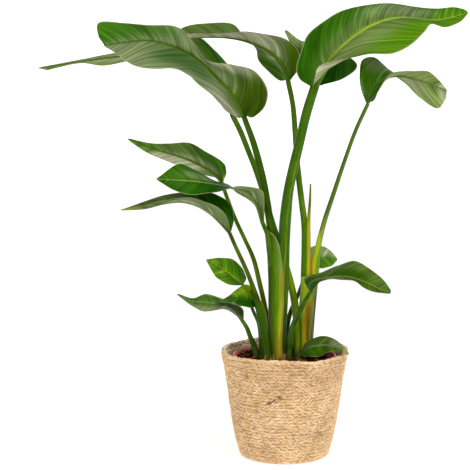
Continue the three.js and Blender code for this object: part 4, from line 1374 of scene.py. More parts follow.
@dataclass
class Leaf:
    """One leaf: a thin, folded and arched blade, its midrib, and its stalk."""

    plan: LeafPlan
    materials: LeafMaterials
    rows: int = 76
    columns: int = 13  # on each side of the midrib
    thickness: float = 0.6
    rib_tip: float = 0.8  # half-width of the midrib at the blade's tip
    rib_steps: int = 60
    rib_sides: int = 12
    least_fold: float = 0.5  # a half-blade runs at least this far in depth for its seen width
    least_reach: float = 1.6  # a margin lies at least this far out, in half-widths of the midrib
    closing: float = 0.88  # past this share of the length the margins run into the tip
    ruffle: float = 0.03  # the margin's wave, as a share of the half-width
    ruffles: float = 23.0  # waves along the margin, times 2 pi
    ripple: float = 0.9  # mm
    ripple_scale: float = 28.0  # ripples per metre
    crowding: float = 1.15  # above 1, the columns crowd to the midrib
    lean_from: float = 0.22  # the side veins lean fully past this share of the length

    def __post_init__(self) -> None:
        """Lays out the curves of the midrib and of both margins."""
        plan = self.plan
        ribs = [at(*station[:3]) for station in plan.stations]
        margins = {
            side: [
                self.margin_point(side, rib, station[first : first + 2], station[2], k / (len(ribs) - 1))
                for k, (rib, station) in enumerate(zip(ribs, plan.stations))
            ]
            for side, first in ((L, 3), (R, 5))
        }
        self.start = (ribs[1] - at(*plan.stalk[1][:3])).normalized()
        across = margins[R][1] - margins[L][1]
        across = (across - self.start * across.dot(self.start)).normalized()
        reach = plan.stalk[0][3] * 0.5 * MM
        margins[L][0] = ribs[0] - across * reach
        margins[R][0] = ribs[0] + across * reach
        self.upper = across.cross(self.start)
        self.rib = SmoothCurve(ribs)
        self.margins = {side: SmoothCurve(margins[side]) for side in Side}

    def margin_point(self, side: Side, rib: Vector, station: Pair, depth: float, t: float) -> Vector:
        """Puts a margin point in front of or behind the midrib, at the blade's true half-width.

        Args:
            side: The half of the blade.
            rib: The midrib's point at this station, in metres.
            station: The margin's (across, up), in mm.
            depth: The midrib's depth, in mm.
            t: Share of the blade's length.

        Returns:
            The margin's point, in metres.
        """
        seen = (at(*station, depth) - rib).length / MM
        fullness = max(0.02, math.sin(math.pi * t**0.62)) ** 0.75
        half = self.plan.half_width * fullness
        offset = math.sqrt(max((self.least_fold * seen) ** 2, half**2 - seen**2))
        return at(*station, depth + (-offset if self.plan.near is side else offset))

    def rib_half_width(self, t: float) -> float:
        """Half the midrib's width, in mm."""
        return self.rib_tip + (self.plan.stalk[0][3] * 0.45 - self.rib_tip) * (1 - t) ** 1.1

    def curl_depth(self, side: Side, t: float) -> float:
        """Finds how far a half-blade is cupped.

        Args:
            side: The half of the blade.
            t: Share of the blade's length.

        Returns:
            The depth, in mm.
        """
        curl = self.plan.curl
        if not curl or curl.side is not side or not curl.start < t < curl.end:
            return 0.0
        return curl.depth * math.sin(math.pi * (t - curl.start) / (curl.end - curl.start))

    def build(self) -> None:
        """Models the blade with its midrib, and the stalk."""
        blade = joined([self.blade_sheet(), self.midrib_tube()])
        select_only(blade)
        bpy.ops.object.shade_smooth_by_angle(angle=math.radians(55))
        finish_piece(blade, None, "leaf", [f"blade_{self.plan.name}"])
        diameter = self.plan.stalk[0][3] * MM
        top = self.rib.point(0) - self.upper * (0.35 * diameter) - self.start * (0.3 * MM)
        look = self.plan.look
        stalk = Stalk(f"petiole_{self.plan.name}", self.plan.stalk, look.stalk, look.bands, top, self.upper)
        stalk.build(self.materials.stalk, "stalk", f"stalk_{self.plan.name}")

    def directions(self, t: float) -> tuple[Vector, Vector]:
        """Finds the blade's directions at a point of the midrib.

        Args:
            t: Share of the blade's length.

        Returns:
            The direction to the tip, and the way from the left margin to the right one.
        """
        along = self.start if t == 0 else self.rib.tangent(t)
        level = min(t, self.closing)
        return along, self.margins[R].point(level) - self.margins[L].point(level)

    def blade_sheet(self) -> Object:
        """Models the blade itself, with its tones and the run of its veins stored per vertex.

        Returns:
            The blade without its midrib.
        """
        width = 2 * (self.columns + 1)
        corners: list[Corner] = []
        travelled = 0.0
        previous = self.rib.point(0)
        for row in range(self.rows + 1):
            rib = self.rib.point(row / self.rows)
            travelled += (rib - previous).length / MM
            previous = rib
            corners += self.blade_row(row / self.rows, rib, travelled)
        sheet = shaped_grid(
            f"leaf_{self.plan.name}", width, self.rows, lambda c, r: corners[r * (width + 1) + c][0]
        )
        for k, layer in enumerate(("vein", "upper_tint", "under_tint"), 1):
            paint(sheet, layer, [corner[k] for corner in corners])
        for material in (self.materials.upper, self.materials.under, self.materials.margin):
            sheet.data.materials.append(material)
        thickened(sheet, self.thickness, offset=0, material_offset=1, material_offset_rim=2)
        return sheet

    def blade_row(self, t: float, rib: Vector, travelled: float) -> list[Corner]:
        """Lays out one row of the blade, from the left margin to the right.

        Args:
            t: Share of the blade's length.
            rib: The midrib's point, in metres.
            travelled: Length of the midrib up to here, in mm.

        Returns:
            Each point, then its vein value (place along its side veins, distance from the midrib
            and share of the half-blade), then its upper and its lower colour.
        """
        along, square = self.directions(t)
        square = (square - along * square.dot(along)).normalized() * (self.rib_half_width(t) * MM)
        left = self.half_row(L, t, rib, along, -square)
        right = self.half_row(R, t, rib, along, square)
        middle = (rib + along.cross(square) * 0.35, 0.0, right[0][2])
        corners = []
        for place, s, lift in [*reversed(left), middle, *right]:
            reach = place - rib
            ahead = reach.dot(along) / MM
            out = (reach - along * reach.dot(along)).length / MM
            lean = self.plan.look.lean[s > 0] * (out + out**2 / self.plan.half_width)
            lean *= min(t / self.lean_from, 1) ** 0.7
            vein = (travelled + ahead - lean, math.copysign(out, s), abs(s))
            facing = (STATION_POINT * MM - place).normalized().dot(lift)
            corners.append((place, vein, *self.tones(t, s, out, facing)))
        return corners

    def half_row(
        self, side: Side, t: float, rib: Vector, along: Vector, inner: Vector
    ) -> list[tuple[Vector, float, Vector]]:
        """Lays out one row of a half-blade, from the midrib to the margin.

        Args:
            side: The half of the blade.
            t: Share of the blade's length.
            rib: The midrib's point, in metres.
            along: The direction to the tip.
            inner: From the midrib's middle to its edge, in metres.

        Returns:
            Each point, its place across from -1 to 1, and the way that the upper face looks.
        """
        swing = math.sin(math.pi * t)
        outer = self.margins[side].point(t) - rib
        if t == 1 or outer.length < inner.length * self.least_reach:
            outer = inner * self.least_reach
        sign = 1 if side is R else -1
        lift = outer.cross(along).normalized() * sign
        half_width = self.plan.half_width
        wave = math.sin(t * self.ruffles + half_width) * self.ruffle * half_width * swing
        arch = self.plan.arch * swing - self.curl_depth(side, t)
        half = []
        for column in range(self.columns + 1):
            f = (column / self.columns) ** self.crowding
            place = rib + inner * (1 - f) + outer * f
            rise = 2 * f * (1 - f) * arch + f * f * wave
            rise += self.ripple * swing * f * noise.noise(place * self.ripple_scale)
            half.append((place + lift * (rise * MM), f * sign, lift))
        return half

    def tones(self, t: float, s: float, out: float, facing: float) -> tuple[Quad, Quad]:
        """The colours of both faces at a point of the blade.

        Args:
            t: Share of the blade's length.
            s: Place across, from -1 at the left margin to 1 at the right.
            out: Distance from the midrib, in mm.
            facing: How far the upper face looks forwards, from -1 to 1.

        Returns:
            The upper face's colour and the underside's.
        """
        look = self.plan.look
        upper, under = look.upper.rgba, look.under.rgba
        shown = 0.7 + 0.3 * clamped(facing * 4, -1)
        for patch in look.patches:
            share = patch.share(t, s)
            upper = mixed(upper, patch.tone.rgba, share * shown)
            under = mixed(under, patch.tone.rgba, share * (1.4 - shown))
        shares = [math.exp(-((out / (self.rib_half_width(t) * width)) ** 2)) for width in (0.75, 1.3)]
        return mixed(upper, look.rib.rgba, 0.85 * shares[0]), mixed(under, look.rib.rgba, 0.6 * shares[1])

    def midrib_tube(self) -> Object:
        """Models the midrib, proud of the underside.

        Returns:
            The midrib.
        """
        shares = [k / self.rib_steps for k in range(self.rib_steps + 1)]
        radii = [self.rib_half_width(t) * MM for t in shares]
        centres = []
        for t, radius in zip(shares, radii):
            along, square = self.directions(t)
            down = along.cross(square).normalized()
            centres.append(self.rib.point(t) + down * (radius * 0.75))
        name = f"midrib_{self.plan.name}"
        tube = swept(name, centres, radii, self.upper, self.rib_sides, lambda a, t: 1.0)
        look = self.plan.look
        lengths = [value.vector[2] for value in tube.data.attributes["fibre"].data]
        paint(tube, "tint", [mixed(look.stalk.rgba, look.rib.rgba, min(share * 3, 1)) for share in lengths])
        tidy(tube, 50)
        tube.data.materials.append(self.materials.stalk)
        return tube


SHEATHS: tuple[tuple[Sheath, str], ...] = (
    (Sheath(
        "clasping_leaf_base", (
            (-27, -3, 180, 110), (-28, -4, 209, 110), (-30, -3, 247, 110), (-31, -1, 295, 110),
            (-31, -1, 324, 110), (-32, 0, 353, 105), (-33, -2, 376, 75), (-35, -6, 396, 45),
            (-37, -11, 415, 20), (-39, -16, 433, -25),
        ), -10, 17, Tone.FERN, (
            Band(Tone.LODEN, -1.0, 0.9, 150, 460, 0.75), Band(Tone.FRESH, 0.15, 0.35, 120, 420, 0.55),
            Band(Tone.LIME, 0.6, 0.32, 120, 330, 0.8), Band(Tone.PALM, 0.65, 0.3, 300, 390, 0.6),
            Band(Tone.SILVER, 0.65, 0.28, 330, 470, 0.8), Band(Tone.AMBER, 0.9, 0.12, 150, 400),
            Band(Tone.AMBER, 0.6, 0.6, 100, 255, 0.6), Band(Tone.STRAW, 1.0, 0.06, 150, 400),
        ),
    ), "stalk_upper_left"),
    (Sheath(
        "clasping_leaf_base_right", (
            (32, 48, 180, 120), (31, 50, 209, 120), (30, 52, 247, 120), (30, 55, 286, 120),
            (31, 58, 314, 110), (31, 59, 328, 110), (31, 59, 340, 110),
        ), 41, 18, Tone.LIME, (
            Band(Tone.AMBER, 0.15, 0.45, 100, 330, 0.95), Band(Tone.UMBER, 0.35, 0.35, 100, 300, 0.8),
            Band(Tone.LODEN, 1.0, 0.35, 100, 420, 0.9), Band(Tone.AMBER, -0.4, 0.1, 100, 300, 0.8),
        ),
    ), "stalk_right_tall"),
    (Sheath(
        "clasping_margin_right", (
            (42, 52, 186, 100), (44, 54, 220, 100), (46, 55, 257, 100), (47, 56, 290, 100),
            (47, 57, 314, 100), (48, 60, 341, 100), (49, 63, 362, 95), (52, 65, 377, 85), (56, 68, 391, 60),
            (60, 71, 410, 20), (65, 74, 429, -40),
        ), 44, 9, Tone.LIME, (
            Band(Tone.AMBER, -0.5, 0.45, 280, 400, 0.95), Band(Tone.FRESH, 0.8, 0.5, 320, 440, 0.9),
            Band(Tone.UMBER, 0.8, 0.9, 150, 300, 0.8),
        ),
    ), "stalk_right_tall"),
    (Sheath(
        "clasping_leaf_base_left", (
            (-41, -23, 180, 90), (-43, -24, 199, 90), (-45, -27, 218, 90), (-47, -30, 238, 85),
            (-51, -33, 257, 80), (-55, -36, 276, 65), (-60, -42, 295, 30), (-65, -50, 314, -20),
        ), -12, 9, Tone.STEM, (
            Band(Tone.FERN, 0.6, 0.5, 170, 330, 0.7), Band(Tone.MOSS, 0.0, 2.0, 120, 222, 0.6),
            Band(Tone.LODEN, 0.0, 2.0, 120, 300, 0.5),
            Band(Tone.BOTTLE, -1.0, 0.5, 170, 330, 0.7), Band(Tone.STRAW, 0.98, 0.08, 150, 330, 0.8),
        ),
    ), "stalk_mid_left_low"),
)


# ---- basket and what stands in it ----


@dataclass
class Basket:
    """A round basket sewn from courses of braided straw, with a soft wavy rim."""

    straw: Material
    profile: tuple[Pair, ...] = (
        (0, 84), (8, 87.5), (31, 94), (55, 98.8), (78, 102.6), (101, 106.3), (125, 109),
        (148, 112.8), (172, 116.5), (184, 119.5), (200, 121),
    )
    wall: float = 7.0
    height: float = 200.0
    courses: int = 18
    course_steps: int = 4
    relief: float = 1.8
    foot_bumps: int = 14  # steps of the underside, from the middle to the edge
    foot_bump: float = 5.6
    rim_wave: float = 1.6
    steps: int = 128
    cords: int = 34
    strand: Triple = (9.0, 2.9, 3.2)  # length, width and thickness
    pitch: float = 4.4
    slant: float = 34.0  # degrees
    wander_rows: float = 12.8  # rows that lie within this height wander together
    rim_rings: tuple[Triple, ...] = ((1.6, 20, 0.75), (4.4, -20, 1.6), (6.2, 20, 2.5))  # in, slant, tilt
    inner_rows: int = 6
    inner_pitch: float = 5.6
    shadow: float = 0.62  # painted shade in the gaps between the strands: how much darker the backing is than the strands
    marks: tuple[Quad, ...] = (
        (-32, 120, 4, 1.0), (-23, 125, 3, 0.9), (-13, 130, 5, 1.0), (3, 147, 2, 0.6), (47, 159, 2, 0.7),
        (-72, 167, 2, 0.6), (58, 52, 13, 0.3), (71, 71, 8, 0.25), (25, 33, 8, 0.2),
    )  # browned strands of the front wall: across, height, reach and strength

    def radius(self, height: float) -> float:
        """The outer radius at a height, in mm."""
        return interpolate(self.profile, height)

    def swell(self, angle: float) -> float:
        """The slow wave of the wall round the basket."""
        return math.sin(3 * angle + 1) + 0.6 * math.sin(7 * angle)

    def surface(self, radius: float, height: float, angle: float) -> Pair:
        """Finds where a point of the plain round basket goes on the wavy one.

        Args:
            radius: The point's radius, in mm.
            height: Its height, in mm.
            angle: Its angle, in radians.

        Returns:
            Its new radius and height, in mm.
        """
        share = height / self.height
        out = 0.0 if height < self.wall + 0.01 else 0.6 * self.swell(angle) * share
        return radius + out, height + self.rim_wave * self.swell(angle) * share**6

    def build(self) -> None:
        """Models the wall and lays the braid over it."""
        wall = turned("basket_wall", self.wall_profile(), self.steps)
        reshaped(wall, self.surface)
        tones = [self.tone(corner.co, 0.0) for corner in wall.data.vertices]
        paint(wall, "tint", [mixed(tone, Straw.SHADOW.rgba, self.shadow) for tone in tones])
        finish_piece(wall, self.straw, "braided_straw", ["basket"])
        rng = random.Random(SEED)
        self.braid("basket_braid", self.outer_places(rng), rng)
        self.braid("basket_rim_braid", self.rim_places(rng), rng)

    def wall_profile(self) -> list[Pair]:
        """Lays out the backing wall, with a groove between every two courses, inside and out.

        Returns:
            The closed profile, from the underside's middle round to the floor's, in mm.
        """
        course = self.height / self.courses
        outer = []
        for k in range(self.courses * self.course_steps):
            height = k * course / self.course_steps
            dip = 0.5 + 0.5 * math.cos(2 * math.pi * k / self.course_steps)
            outer.append((self.radius(height) - 1.8 - 0.5 * self.relief * dip, height))
        outer[0] = (self.radius(0) - 2.5, 0)
        rim = self.radius(self.height)
        lip = [(rim - 1.6, self.height - 2), (rim - 3.5, self.height - 1), (rim - 5.6, self.height - 2.4)]
        inner = []
        for k in range(self.courses * 2 - 1, 1, -1):
            height = k * course / 2
            inner.append((self.radius(height) - self.wall + 0.8 + (0.9 if k % 2 == 0 else 0), height))
        floor = [(self.radius(self.wall) - self.wall - 1, self.wall), (0, self.wall)]
        base = [(k * self.foot_bump, 0.0 if k % 2 else 0.8) for k in range(1, self.foot_bumps + 1)]
        return [(0, 0), *base, *outer, *lip, *inner, *floor]

    def outer_places(self, rng: random.Random) -> list[Matrix]:
        """Places the strands of the outer wall: rows of cord, slanting to and fro, with slips.

        Args:
            rng: The seeded source of jitter.

        Returns:
            One matrix for each strand.
        """
        places = []
        for row in range(self.cords):
            height = (row + 0.5) * (self.height - 1) / self.cords
            lean = -self.slant if row % 2 == (rng.random() < 0.25) else self.slant
            places += self.ring(rng, height, self.radius(height) - 1.5, lean, outward=1)
        return places

    def rim_places(self, rng: random.Random) -> list[Matrix]:
        """Places the strands over the rim and down the inside of the wall.

        Args:
            rng: The seeded source of jitter.

        Returns:
            One matrix for each strand.
        """
        places = []
        rim = self.radius(self.height)
        for inset, lean, tilt in self.rim_rings:
            places += self.ring(rng, self.height - 1.6, rim - inset, lean, outward=1, tilt=tilt)
        for row in range(self.inner_rows):
            height = self.height - 5 - row * self.inner_pitch
            radius = self.radius(height) - self.wall + 1.2
            places += self.ring(rng, height, radius, self.slant if row % 2 else -self.slant, outward=-1)
        return places

    def ring(
        self, rng: random.Random, height: float, radius: float, lean: float, outward: int,
        tilt: float = 0.0,
    ) -> list[Matrix]:
        """Places one ring of strands.

        Args:
            rng: The seeded source of jitter.
            height: Height of the ring, in mm.
            radius: Its radius, in mm.
            lean: Slant of its strands, in degrees.
            outward: 1 where the ring faces outwards, -1 where it faces inwards.
            tilt: How far the ring's face is tipped up and over, in radians.

        Returns:
            One matrix for each strand.
        """
        count = round(2 * math.pi * radius / self.pitch)
        first = rng.random() * 2 * math.pi
        places = []
        for k in range(count):
            angle = first + 2 * math.pi * (k + rng.uniform(-0.16, 0.16)) / count
            radial = Vector((math.cos(angle), math.sin(angle), 0))
            row = round(height / self.wander_rows)
            wander = noise.noise((radial + Vector((0, 0, row * 3))) * 2.0)
            loose = radius + rng.uniform(-0.5, 0.3) + 0.8 * wander
            level = height + rng.uniform(-1.2, 1.2) + 2.2 * wander
            out, up = self.surface(loose, level, angle)
            up = max(up, self.strand[1])
            around = Vector((-math.sin(angle), math.cos(angle), 0))
            face = radial * (outward * math.cos(tilt)) + Vector((0, 0, math.sin(tilt)))
            across = face.cross(around)
            turn = math.radians(lean + rng.uniform(-14, 14))
            along = around * math.cos(turn) + across * math.sin(turn)
            length = self.strand[0] * rng.uniform(0.82, 1.15)
            scale = Matrix.Diagonal((length, self.strand[1] * rng.uniform(0.85, 1.1), self.strand[2], 1))
            places.append(placed(polar(out, angle, up), along, face) @ scale)
        return places

    def tone(self, place: Vector, jitter: float) -> Quad:
        """The straw's colour at a place: pale, with browner stains and dark flecks.

        Args:
            place: A point of the basket, in metres.
            jitter: Change of shade of one strand, from -1 to 1.

        Returns:
            A linear colour.
        """
        cloud = 0.4 + 0.45 * noise.noise(place * 22)
        colour = mixed(Straw.PALE.rgba, Straw.WARM.rgba, clamped(cloud + 0.75 * jitter, -0.2, 1.3))
        stain = noise.noise(Vector((place.x, place.y, place.z * 0.7)) * 13 + Vector((4, 1, 7)))
        colour = mixed(colour, Straw.DEEP.rgba, clamped(stain * 1.5 - 0.4, 0, 0.24))
        dark = 0.6 if jitter < -0.992 else 0.0  # one strand in 250 is a dark fleck
        for across, height, reach, strength in self.marks if place.y < 0 else ():
            distance = math.hypot(place.x / MM - across, 1.6 * (place.z / MM - height)) / reach
            dark = max(dark, strength * clamped(1.5 - distance))
        return mixed(colour, Straw.FLECK.rgba, dark)

    def braid(self, name: str, places: Sequence[Matrix], rng: random.Random) -> None:
        """Lays one lens-shaped strand at every place.

        Args:
            name: The piece's name.
            places: One matrix for each strand.
            rng: The seeded source of shade.
        """
        colours = [self.tone(place.translation, rng.uniform(-1, 1)) for place in places]
        for k, place in enumerate(places):
            x, y, z = place.translation / MM
            if math.hypot(x, y) < self.radius(z) - 5:  # painted light: the strands inside the wall are painted paler, so that they look brightly lit
                colours[k] = mixed(colours[k], Straw.PAINTED_LIGHT.rgba, 0.7)
        strands = repeated(name, stretchable_ball(6, 4), places, colours)
        finish_piece(strands, self.straw, "braided_straw", ["basket"])


@dataclass
class Potting:
    """The film liner, the nursery pot and the potting bark inside the basket."""

    basket: Basket
    film: Material
    plastic: Material
    bark: Material
    humus: Material
    liner_floor: float = 76.0
    liner_wall: float = 0.5
    pot_floor: float = 68.0
    pot_rim: float = 98.0
    pot_wall: float = 1.6
    pot_top: float = 191.0
    pot_foot: float = 8.6
    soil_gap: float = 7.2  # from the pot's rim in to the bark's edge
    soil_top: float = 180.0
    soil_lump: float = 3.2
    bank: float = 5.5  # how much higher the bark lies against the pot's wall
    chips: int = 620
    shreds: int = 170
    shred_centre: float = -19.0  # most shreds stand at the foot of the oldest leaf
    liner_rings: tuple[float, ...] = (22, 48, 74, 100, 122, 144, 158, 168, 176, 183, 189)
    rim_profile: tuple[Pair, ...] = (
        (-5, -14), (-0.6, -13.6), (0, -12.6), (0.4, -1.2), (-0.4, 0), (-2.2, 0), (-3, -1),
        (-4.4, -13), (-6.6, -15),
    )  # the rolled rim, out and up from its top edge
    chip_colours: tuple[str, ...] = ("#35170a", "#57220e", "#75381a", "#1c0c06", "#94683f")
    shred_colours: tuple[str, ...] = ("#8f6724", "#6f451c", "#4a2e14", "#a07f42", "#5f5128")

    def build(self) -> None:
        """Models the liner, the pot and the filling, with the chips and the shreds that lie on it."""
        self.build_liner()
        self.build_pot()
        self.build_filling()
        rng = random.Random(SEED + 1)
        self.build_chips(rng)
        self.build_shreds(rng)

    def build_liner(self) -> None:
        """Models the liner, a crinkled bag of clear film."""
        floor = self.basket.wall + 0.3
        outside = [
            (self.basket.radius(height) - self.basket.wall - 2.2, height)
            for height in self.liner_rings
        ]
        inside = [(radius - self.liner_wall, height) for radius, height in reversed(outside)]
        profile = [
            (0, floor), (self.liner_floor, floor), *outside, *inside,
            (self.liner_floor - self.liner_wall, floor + self.liner_wall), (0, floor + self.liner_wall),
        ]
        liner = turned("film_liner", profile, 160)

        def crinkle(radius: float, height: float, angle: float) -> Pair:
            """Creases the film more and more from the height of 60 mm up to its edge.

            Args:
                radius: The point's radius, in mm.
                height: Its height, in mm.
                angle: Its angle, in radians.

            Returns:
                Its new radius and height, in mm.
            """
            share = max(0.0, (height - 60) / (self.liner_rings[-1] - 60))
            crease = math.sin(9 * angle) + 0.7 * math.sin(14 * angle + 2)
            fine = noise.noise(Vector((math.cos(angle) * 9, math.sin(angle) * 9, height * 0.05)))
            return (
                radius - 1.1 * share * (1 + 0.3 * crease) + 1.6 * share * fine,
                height + 2.4 * share**4 * crease + 2.0 * share**6 * fine,
            )

        reshaped(liner, crinkle)
        tidy(liner, 60)
        finish_piece(liner, self.film, "clear_film", ["liner"])

    def build_pot(self) -> None:
        """Models the pot: plain and tapering, with a deep rolled rim."""
        foot = self.pot_foot
        profile = [
            (0, foot), (self.pot_floor - 3, foot), (self.pot_floor, foot + 2),
            *[(self.pot_rim + out, self.pot_top + up) for out, up in self.rim_profile],
            (self.pot_floor - self.pot_wall, foot + self.pot_wall), (0, foot + self.pot_wall),
        ]
        pot = turned("nursery_pot_shell", profile, 96)
        tidy(pot, 40)
        finish_piece(pot, self.plastic, "terracotta_plastic", ["nursery_pot"])

    def chip_height(self, x: float, y: float) -> float:
        """Finds the height of the bark's bumps at a place.

        Args:
            x: The place across, in mm.
            y: The place in depth, in mm.

        Returns:
            The height above the plain top, in mm.
        """
        coarse = math.sin(x * 0.31 + 1.3 * math.sin(y * 0.17)) * math.cos(y * 0.37 - 0.8)
        fine = math.sin(x * 0.83 - y * 0.59 + 2.1)
        bank = clamped((math.hypot(x, y) - 48) / 36)
        return self.soil_lump * (0.6 * coarse + 0.4 * fine) + self.bank * bank

    def build_filling(self) -> None:
        """Models the dark filling, with a rough top."""
        floor = self.pot_foot + self.pot_wall + 0.3
        radius = self.pot_rim - self.soil_gap
        rings = [(radius * k / 24, self.soil_top) for k in range(23, 0, -1)]
        profile = [
            (0, floor), (self.pot_floor - 2, floor), (radius, self.pot_top - 16), *rings,
            (0, self.soil_top),
        ]
        soil = turned("potting_bark", profile, 96)
        for corner in soil.data.vertices:
            x, y, z = corner.co / MM
            if z > self.soil_top - 0.5:
                rough = 1.3 * noise.noise(Vector((x, y, 0)) * 0.22)
                corner.co.z += (self.chip_height(x, y) + rough) * MM
        tidy(soil, 180)
        finish_piece(soil, self.humus, "potting_bark", ["soil"])

    def build_chips(self, rng: random.Random) -> None:
        """Models the bark chips, one lumpy shape in many sizes.

        Args:
            rng: The seeded source of places and sizes.
        """
        places, colours = [], []
        for _ in range(self.chips):
            r = (self.pot_rim - self.soil_gap) * math.sqrt(rng.random()) * 0.97
            angle = rng.uniform(0, 2 * math.pi)
            x, y = r * math.cos(angle), r * math.sin(angle)
            centre = Vector((x, y, self.soil_top + self.chip_height(x, y) + rng.uniform(0.2, 2.0))) * MM
            tip = Vector((rng.gauss(0, 0.35), rng.gauss(0, 0.35), 1))
            size = (rng.uniform(4, 13), rng.uniform(3, 7), rng.uniform(1.2, 3.2), 1)
            heading = Vector((math.cos(rng.uniform(0, 6.3)), math.sin(rng.uniform(0, 6.3)), 0.1))
            places.append(placed(centre, heading, tip) @ Matrix.Diagonal(size))
            colours.append(linear(self.chip_colours[min(int(rng.expovariate(0.9)), 4)]))
        bpy.ops.object.select_all(action="DESELECT")
        bpy.ops.mesh.primitive_ico_sphere_add(subdivisions=2, radius=0.5 * MM, calc_uvs=False)
        pattern = bpy.context.object
        for corner in pattern.data.vertices:
            corner.co *= 1 + 0.35 * noise.noise(corner.co / MM * 2.3)
        chips = repeated("bark_chips", pattern, places, colours)
        finish_piece(chips, self.bark, "potting_bark", ["soil"])

    def build_shreds(self, rng: random.Random) -> None:
        """Models dry straw-coloured shreds of old leaf bases, standing and lying round the stalks.

        Args:
            rng: The seeded source of places and sizes.
        """
        places, colours = [], []
        for _ in range(self.shreds):
            standing = rng.random() < 0.6
            if standing:
                x, y = rng.gauss(self.shred_centre, 11), rng.uniform(-38, -12)
                length, width = rng.uniform(9, 22), rng.choice((0.7, 1.0, 1.6, 2.4))
                lift, along = length * 0.36, Vector((rng.gauss(0, 0.4), rng.gauss(0, 0.3), 1.0))
                face = Vector((rng.gauss(0, 0.5), -1, 0.3))
            else:
                x, y = rng.uniform(-55, 60), rng.uniform(-60, 50)
                length, width, lift = rng.uniform(8, 26), 0.8, 3.0
                along = Vector((rng.gauss(0, 1), rng.gauss(0, 1), 0.12))
                face = Vector((0, 0.1, 1))
            if math.hypot(x, y) > self.pot_rim - 16:
                continue
            centre = Vector((x, y, self.soil_top + self.chip_height(x, y) + lift)) * MM
            size = Matrix.Diagonal((length, width, 0.8, 1))
            places.append(placed(centre, along, face) @ size)
            colours.append(linear(rng.choice(self.shred_colours)))
        pattern = stretchable_ball(8, 6)
        for corner in pattern.data.vertices:
            corner.co.z += 1.2 * (corner.co.x**2) / MM
        finish_piece(repeated("dry_shreds", pattern, places, colours), self.bark, "potting_bark", ["soil"])


# ---- stage ----


@dataclass(frozen=True)
class Lamp:
    """A soft round studio lamp: place in metres, width in metres, power in watts."""

    name: str
    place: Triple
    size: float
    power: float


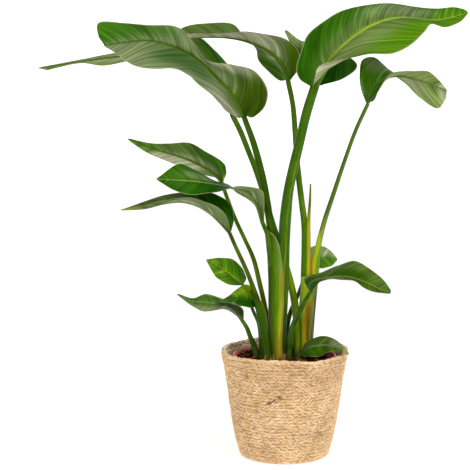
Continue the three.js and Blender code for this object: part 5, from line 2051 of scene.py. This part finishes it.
@dataclass
class Stage:
    """A plain pale floor and backdrop, soft light from the front right and above, and the camera."""

    lamps: tuple[Lamp, ...] = (
        Lamp("key", (1.6, -2.0, 2.2), 1.0, 50.0), Lamp("fill", (-1.2, -2.6, 1.5), 1.6, 34.0),
    )
    aim: Triple = (0, 0, 0.45)
    sky: float = 0.5
    floor_drop: float = 0.0015  # metres below the basket, so that the two faces don't flicker
    sensor: float = 36.0
    lens: float = 98.04
    pitch: float = 83.8  # degrees up from straight down

    def paper(
        self, name: str, size: float, place: Triple, turn: float, whiteness: float, glow: float
    ) -> Object:
        """Adds a sheet of matt white paper, lit evenly from behind.

        Args:
            name: The sheet's name.
            size: Its width, in metres.
            place: Its middle, in metres.
            turn: How far it is tipped up, in degrees.
            whiteness: Share of the light that it throws back.
            glow: Strength of its own light.

        Returns:
            The sheet's object.
        """
        bpy.ops.object.select_all(action="DESELECT")
        bpy.ops.mesh.primitive_plane_add(size=size, location=place, rotation=(math.radians(turn), 0, 0))
        sheet = bpy.context.object
        sheet.name = name
        material = blank_material(f"white_{name}_paper")
        skin = node(material.node_tree, "BsdfPrincipled", {
            "Base Color": (whiteness, whiteness, whiteness, 1), "Roughness": 0.9,
            "Specular IOR Level": 0.0, "Emission Color": (1, 1, 1, 1), "Emission Strength": glow,
        })
        node(material.node_tree, "OutputMaterial", {"Surface": skin})
        sheet.data.materials.append(material)
        return sheet

    def light(self, lamp: Lamp) -> Object:
        """Hangs a lamp and aims it at the plant.

        Args:
            lamp: The lamp.

        Returns:
            Its object.
        """
        data = bpy.data.lights.new(lamp.name, "AREA")
        data.shape = "DISK"
        data.size = lamp.size
        data.energy = lamp.power
        holder = bpy.data.objects.new(lamp.name, data)
        bpy.context.scene.collection.objects.link(holder)
        holder.location = lamp.place
        holder.rotation_euler = (Vector(self.aim) - Vector(lamp.place)).to_track_quat("-Z", "Y").to_euler()
        return holder

    def build(self) -> None:
        """Sets up the paper, the light and the camera."""
        scene = bpy.context.scene
        floor = self.paper("floor", 24, (0, 0, -self.floor_drop), 0, 0.85, 0.5)
        backdrop = self.paper("backdrop", 7, (0, 9, 2.5), 90, 0.5, 0.9)
        scene.world = bpy.data.worlds.new("studio")
        scene.world.use_nodes = True
        background = scene.world.node_tree.nodes["Background"]
        background.inputs["Color"].default_value = (1, 1, 1, 1)
        background.inputs["Strength"].default_value = self.sky
        lamps = [self.light(lamp) for lamp in self.lamps]
        lens = bpy.data.cameras.new("camera")
        lens.sensor_width = self.sensor
        lens.lens = self.lens
        lens.clip_end = 40
        camera = bpy.data.objects.new("camera", lens)
        scene.collection.objects.link(camera)
        camera.location = STATION_POINT * MM
        camera.rotation_euler = (math.radians(self.pitch), 0, 0)
        scene.camera = camera
        scene.view_settings.view_transform = "Standard"


def main() -> None:
    """Builds the plant, the basket and what is in it, piece by piece."""
    logging.basicConfig(level=logging.INFO, format="%(name)s: %(message)s")
    # Live leaf tissue: glossy above, with a waxy bloom below.
    upper = LeafFinish("leaf_upper_skin", "upper_tint", 0.34, 0.16, 0.75, 0.15).build()
    under = LeafFinish("leaf_waxy_underside", "under_tint", 0.5, 0.24, 0.5, 0.15).build()
    # Corky dry edge of the leaf.
    margin = FibreFinish("dry_leaf_margin", 0.7, 0.2, 0.2, plain="#6d5a2c").build()
    stalk = StalkFinish("waxy_leaf_stalk").build()
    materials = LeafMaterials(upper, under, margin, stalk)
    for plan in LEAVES:
        Leaf(plan, materials).build()
    Spear("rolled_leaf", SPEAR, Tone.LIME).build(stalk, "young_leaf", "new_leaf_spear")
    for sheath, node_name in SHEATHS:
        sheath.build(stalk, node_name)

    # Braided, sun-dried straw.
    straw = FibreFinish("braided_straw", 0.72, 0.1, 0.35).build()
    basket = Basket(straw)
    basket.build()
    # Blown polyethylene film, injection-moulded pot, composted bark.
    film = MouldedPlastic("clear_polyethylene_film", "#dccfbc", 0.25, 0.4).build()
    plastic = MouldedPlastic("terracotta_polypropylene", "#d4572f").build()
    bark = FibreFinish("composted_bark_chips", 0.85, 0.35, 0.8, 120.0, sheen=0.12).build()
    humus = FibreFinish("dark_humus", 0.95, 0.4, 1.0, 160.0, "#1c0c05", 0.05).build()
    Potting(basket, film, plastic, bark, humus).build()
    Stage().build()


if __name__ == "__main__":
    main()
